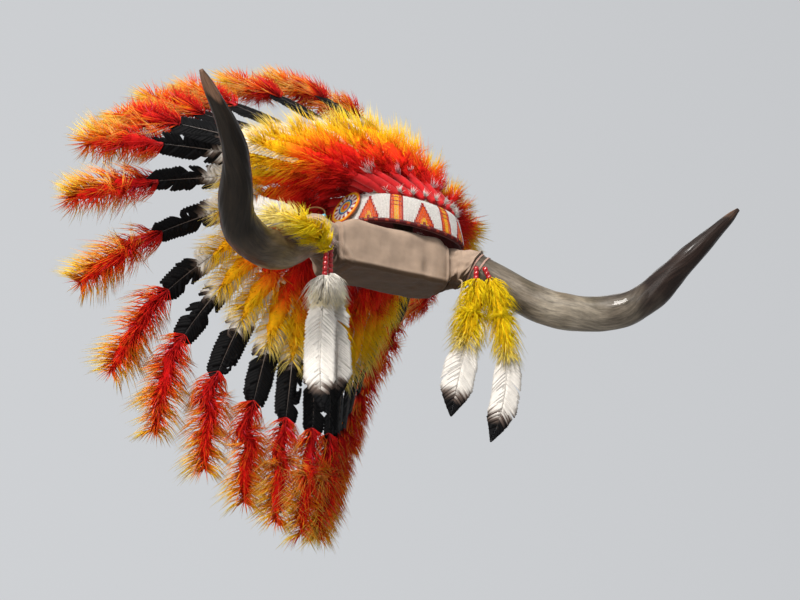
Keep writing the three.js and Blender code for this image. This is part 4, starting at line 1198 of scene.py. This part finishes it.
class HEADDRESS_OT_stage(bpy.types.Operator):
    """Set the camera at the photograph's angle, soft lights and a plain pale floor"""

    bl_idname = "headdress.stage"
    bl_label = "Stage"

    def execute(self, context):
        scene = context.scene
        mesh = bpy.data.meshes.new("floor")
        reach, level = 12.0, -2.2
        mesh.from_pydata([(-reach, -reach, level), (reach, -reach, level), (reach, reach, level),
                          (-reach, reach, level)], [], [(0, 1, 2, 3)])
        floor = bpy.data.objects.new("floor", mesh)
        scene.collection.objects.link(floor)
        material = bpy.data.materials.new("pale_floor")
        material.use_nodes = True
        shader = material.node_tree.nodes["Principled BSDF"]
        shader.inputs["Base Color"].default_value = (0.52, 0.52, 0.51, 1)
        shader.inputs["Roughness"].default_value = 0.9
        mesh.materials.append(material)

        camera = bpy.data.objects.new("camera", bpy.data.cameras.new("camera"))
        scene.collection.objects.link(camera)
        camera.data.sensor_width = 36.0
        camera.data.lens = 82.1
        forward = Vector((0.484, 0.8055, 0.342)).normalized()
        right = Vector((0.857, -0.515, 0.0)).normalized()
        up = right.cross(forward)
        camera.matrix_world = Matrix((
            (right.x, up.x, -forward.x, -1.179),
            (right.y, up.y, -forward.y, -2.010),
            (right.z, up.z, -forward.z, -0.874),
            (0, 0, 0, 1),
        ))
        camera.data.clip_start, camera.data.clip_end = 0.05, 60
        scene.camera = camera

        self.light("key", (-1.3, -1.45, 1.95), (0.05, 0.0, 0.05), 0.5, 84, (1.0, 0.97, 0.93))
        self.light("fill", (-2.6, -0.9, -0.2), (0.0, 0.05, 0.0), 1.8, 44, (1.0, 0.95, 0.9))
        self.light("back", (1.4, 2.6, 1.8), (0.0, 0.1, 0.1), 1.6, 14, (1.0, 0.98, 0.95))
        scene.view_settings.view_transform = "Standard"
        world = bpy.data.worlds.new("studio")
        world.use_nodes = True
        tree = world.node_tree
        background = tree.nodes["Background"]
        background.inputs["Color"].default_value = (0.88, 0.9, 0.93, 1)
        apart = tree.nodes.new("ShaderNodeSeparateXYZ")
        tree.links.new(tree.nodes.new("ShaderNodeTexCoord").outputs["Generated"], apart.inputs[0])
        level = tree.nodes.new("ShaderNodeMapRange")
        level.inputs["From Min"].default_value = -1
        level.inputs["To Min"].default_value = 0.3
        level.inputs["To Max"].default_value = 0.72
        tree.links.new(apart.outputs["Y"], level.inputs["Value"])
        tree.links.new(level.outputs["Result"], background.inputs["Strength"])
        scene.world = world
        return {"FINISHED"}

    def light(self, name, place, target, size, power, colour):
        """A square lamp that faces the target."""
        lamp = bpy.data.lights.new(name, "AREA")
        lamp.size, lamp.energy, lamp.color = size, power, colour
        holder = bpy.data.objects.new(name, lamp)
        bpy.context.scene.collection.objects.link(holder)
        holder.location = place
        holder.rotation_euler = (Vector(target) - Vector(place)).to_track_quat("-Z", "Y").to_euler()


class HEADDRESS_PT_panel(bpy.types.Panel):
    """The headdress's operators, sizes and colours"""

    bl_label = "Headdress"
    bl_idname = "HEADDRESS_PT_panel"
    bl_space_type = "VIEW_3D"
    bl_region_type = "UI"
    bl_category = "Headdress"

    def draw(self, context):
        for operator in OPERATORS:
            self.layout.operator(operator.bl_idname)
        for settings in (context.scene.headdress_sizes, context.scene.headdress_colours):
            for name in settings.__annotations__:
                self.layout.prop(settings, name)


OPERATORS = (
    HEADDRESS_OT_horns,
    HEADDRESS_OT_block,
    HEADDRESS_OT_cap,
    HEADDRESS_OT_band,
    HEADDRESS_OT_rosettes,
    HEADDRESS_OT_crown_feathers,
    HEADDRESS_OT_drops,
    HEADDRESS_OT_ties,
    HEADDRESS_OT_stage,
)
CLASSES = (HeaddressColours, HeaddressSizes, *OPERATORS, HEADDRESS_PT_panel)


def register():
    """Adds the classes and hangs the settings on the scene."""
    for each in CLASSES:
        bpy.utils.register_class(each)
    bpy.types.Scene.headdress_colours = bpy.props.PointerProperty(type=HeaddressColours)
    bpy.types.Scene.headdress_sizes = bpy.props.PointerProperty(type=HeaddressSizes)


def unregister():
    """Takes the settings and the classes away again."""
    del bpy.types.Scene.headdress_sizes
    del bpy.types.Scene.headdress_colours
    for each in reversed(CLASSES):
        bpy.utils.unregister_class(each)


def main():
    """Makes everything in order."""
    register()
    make_finishes()
    for operator in OPERATORS:
        group, call = operator.bl_idname.split(".")
        getattr(getattr(bpy.ops, group), call)()


if __name__ == "__main__":
    main()
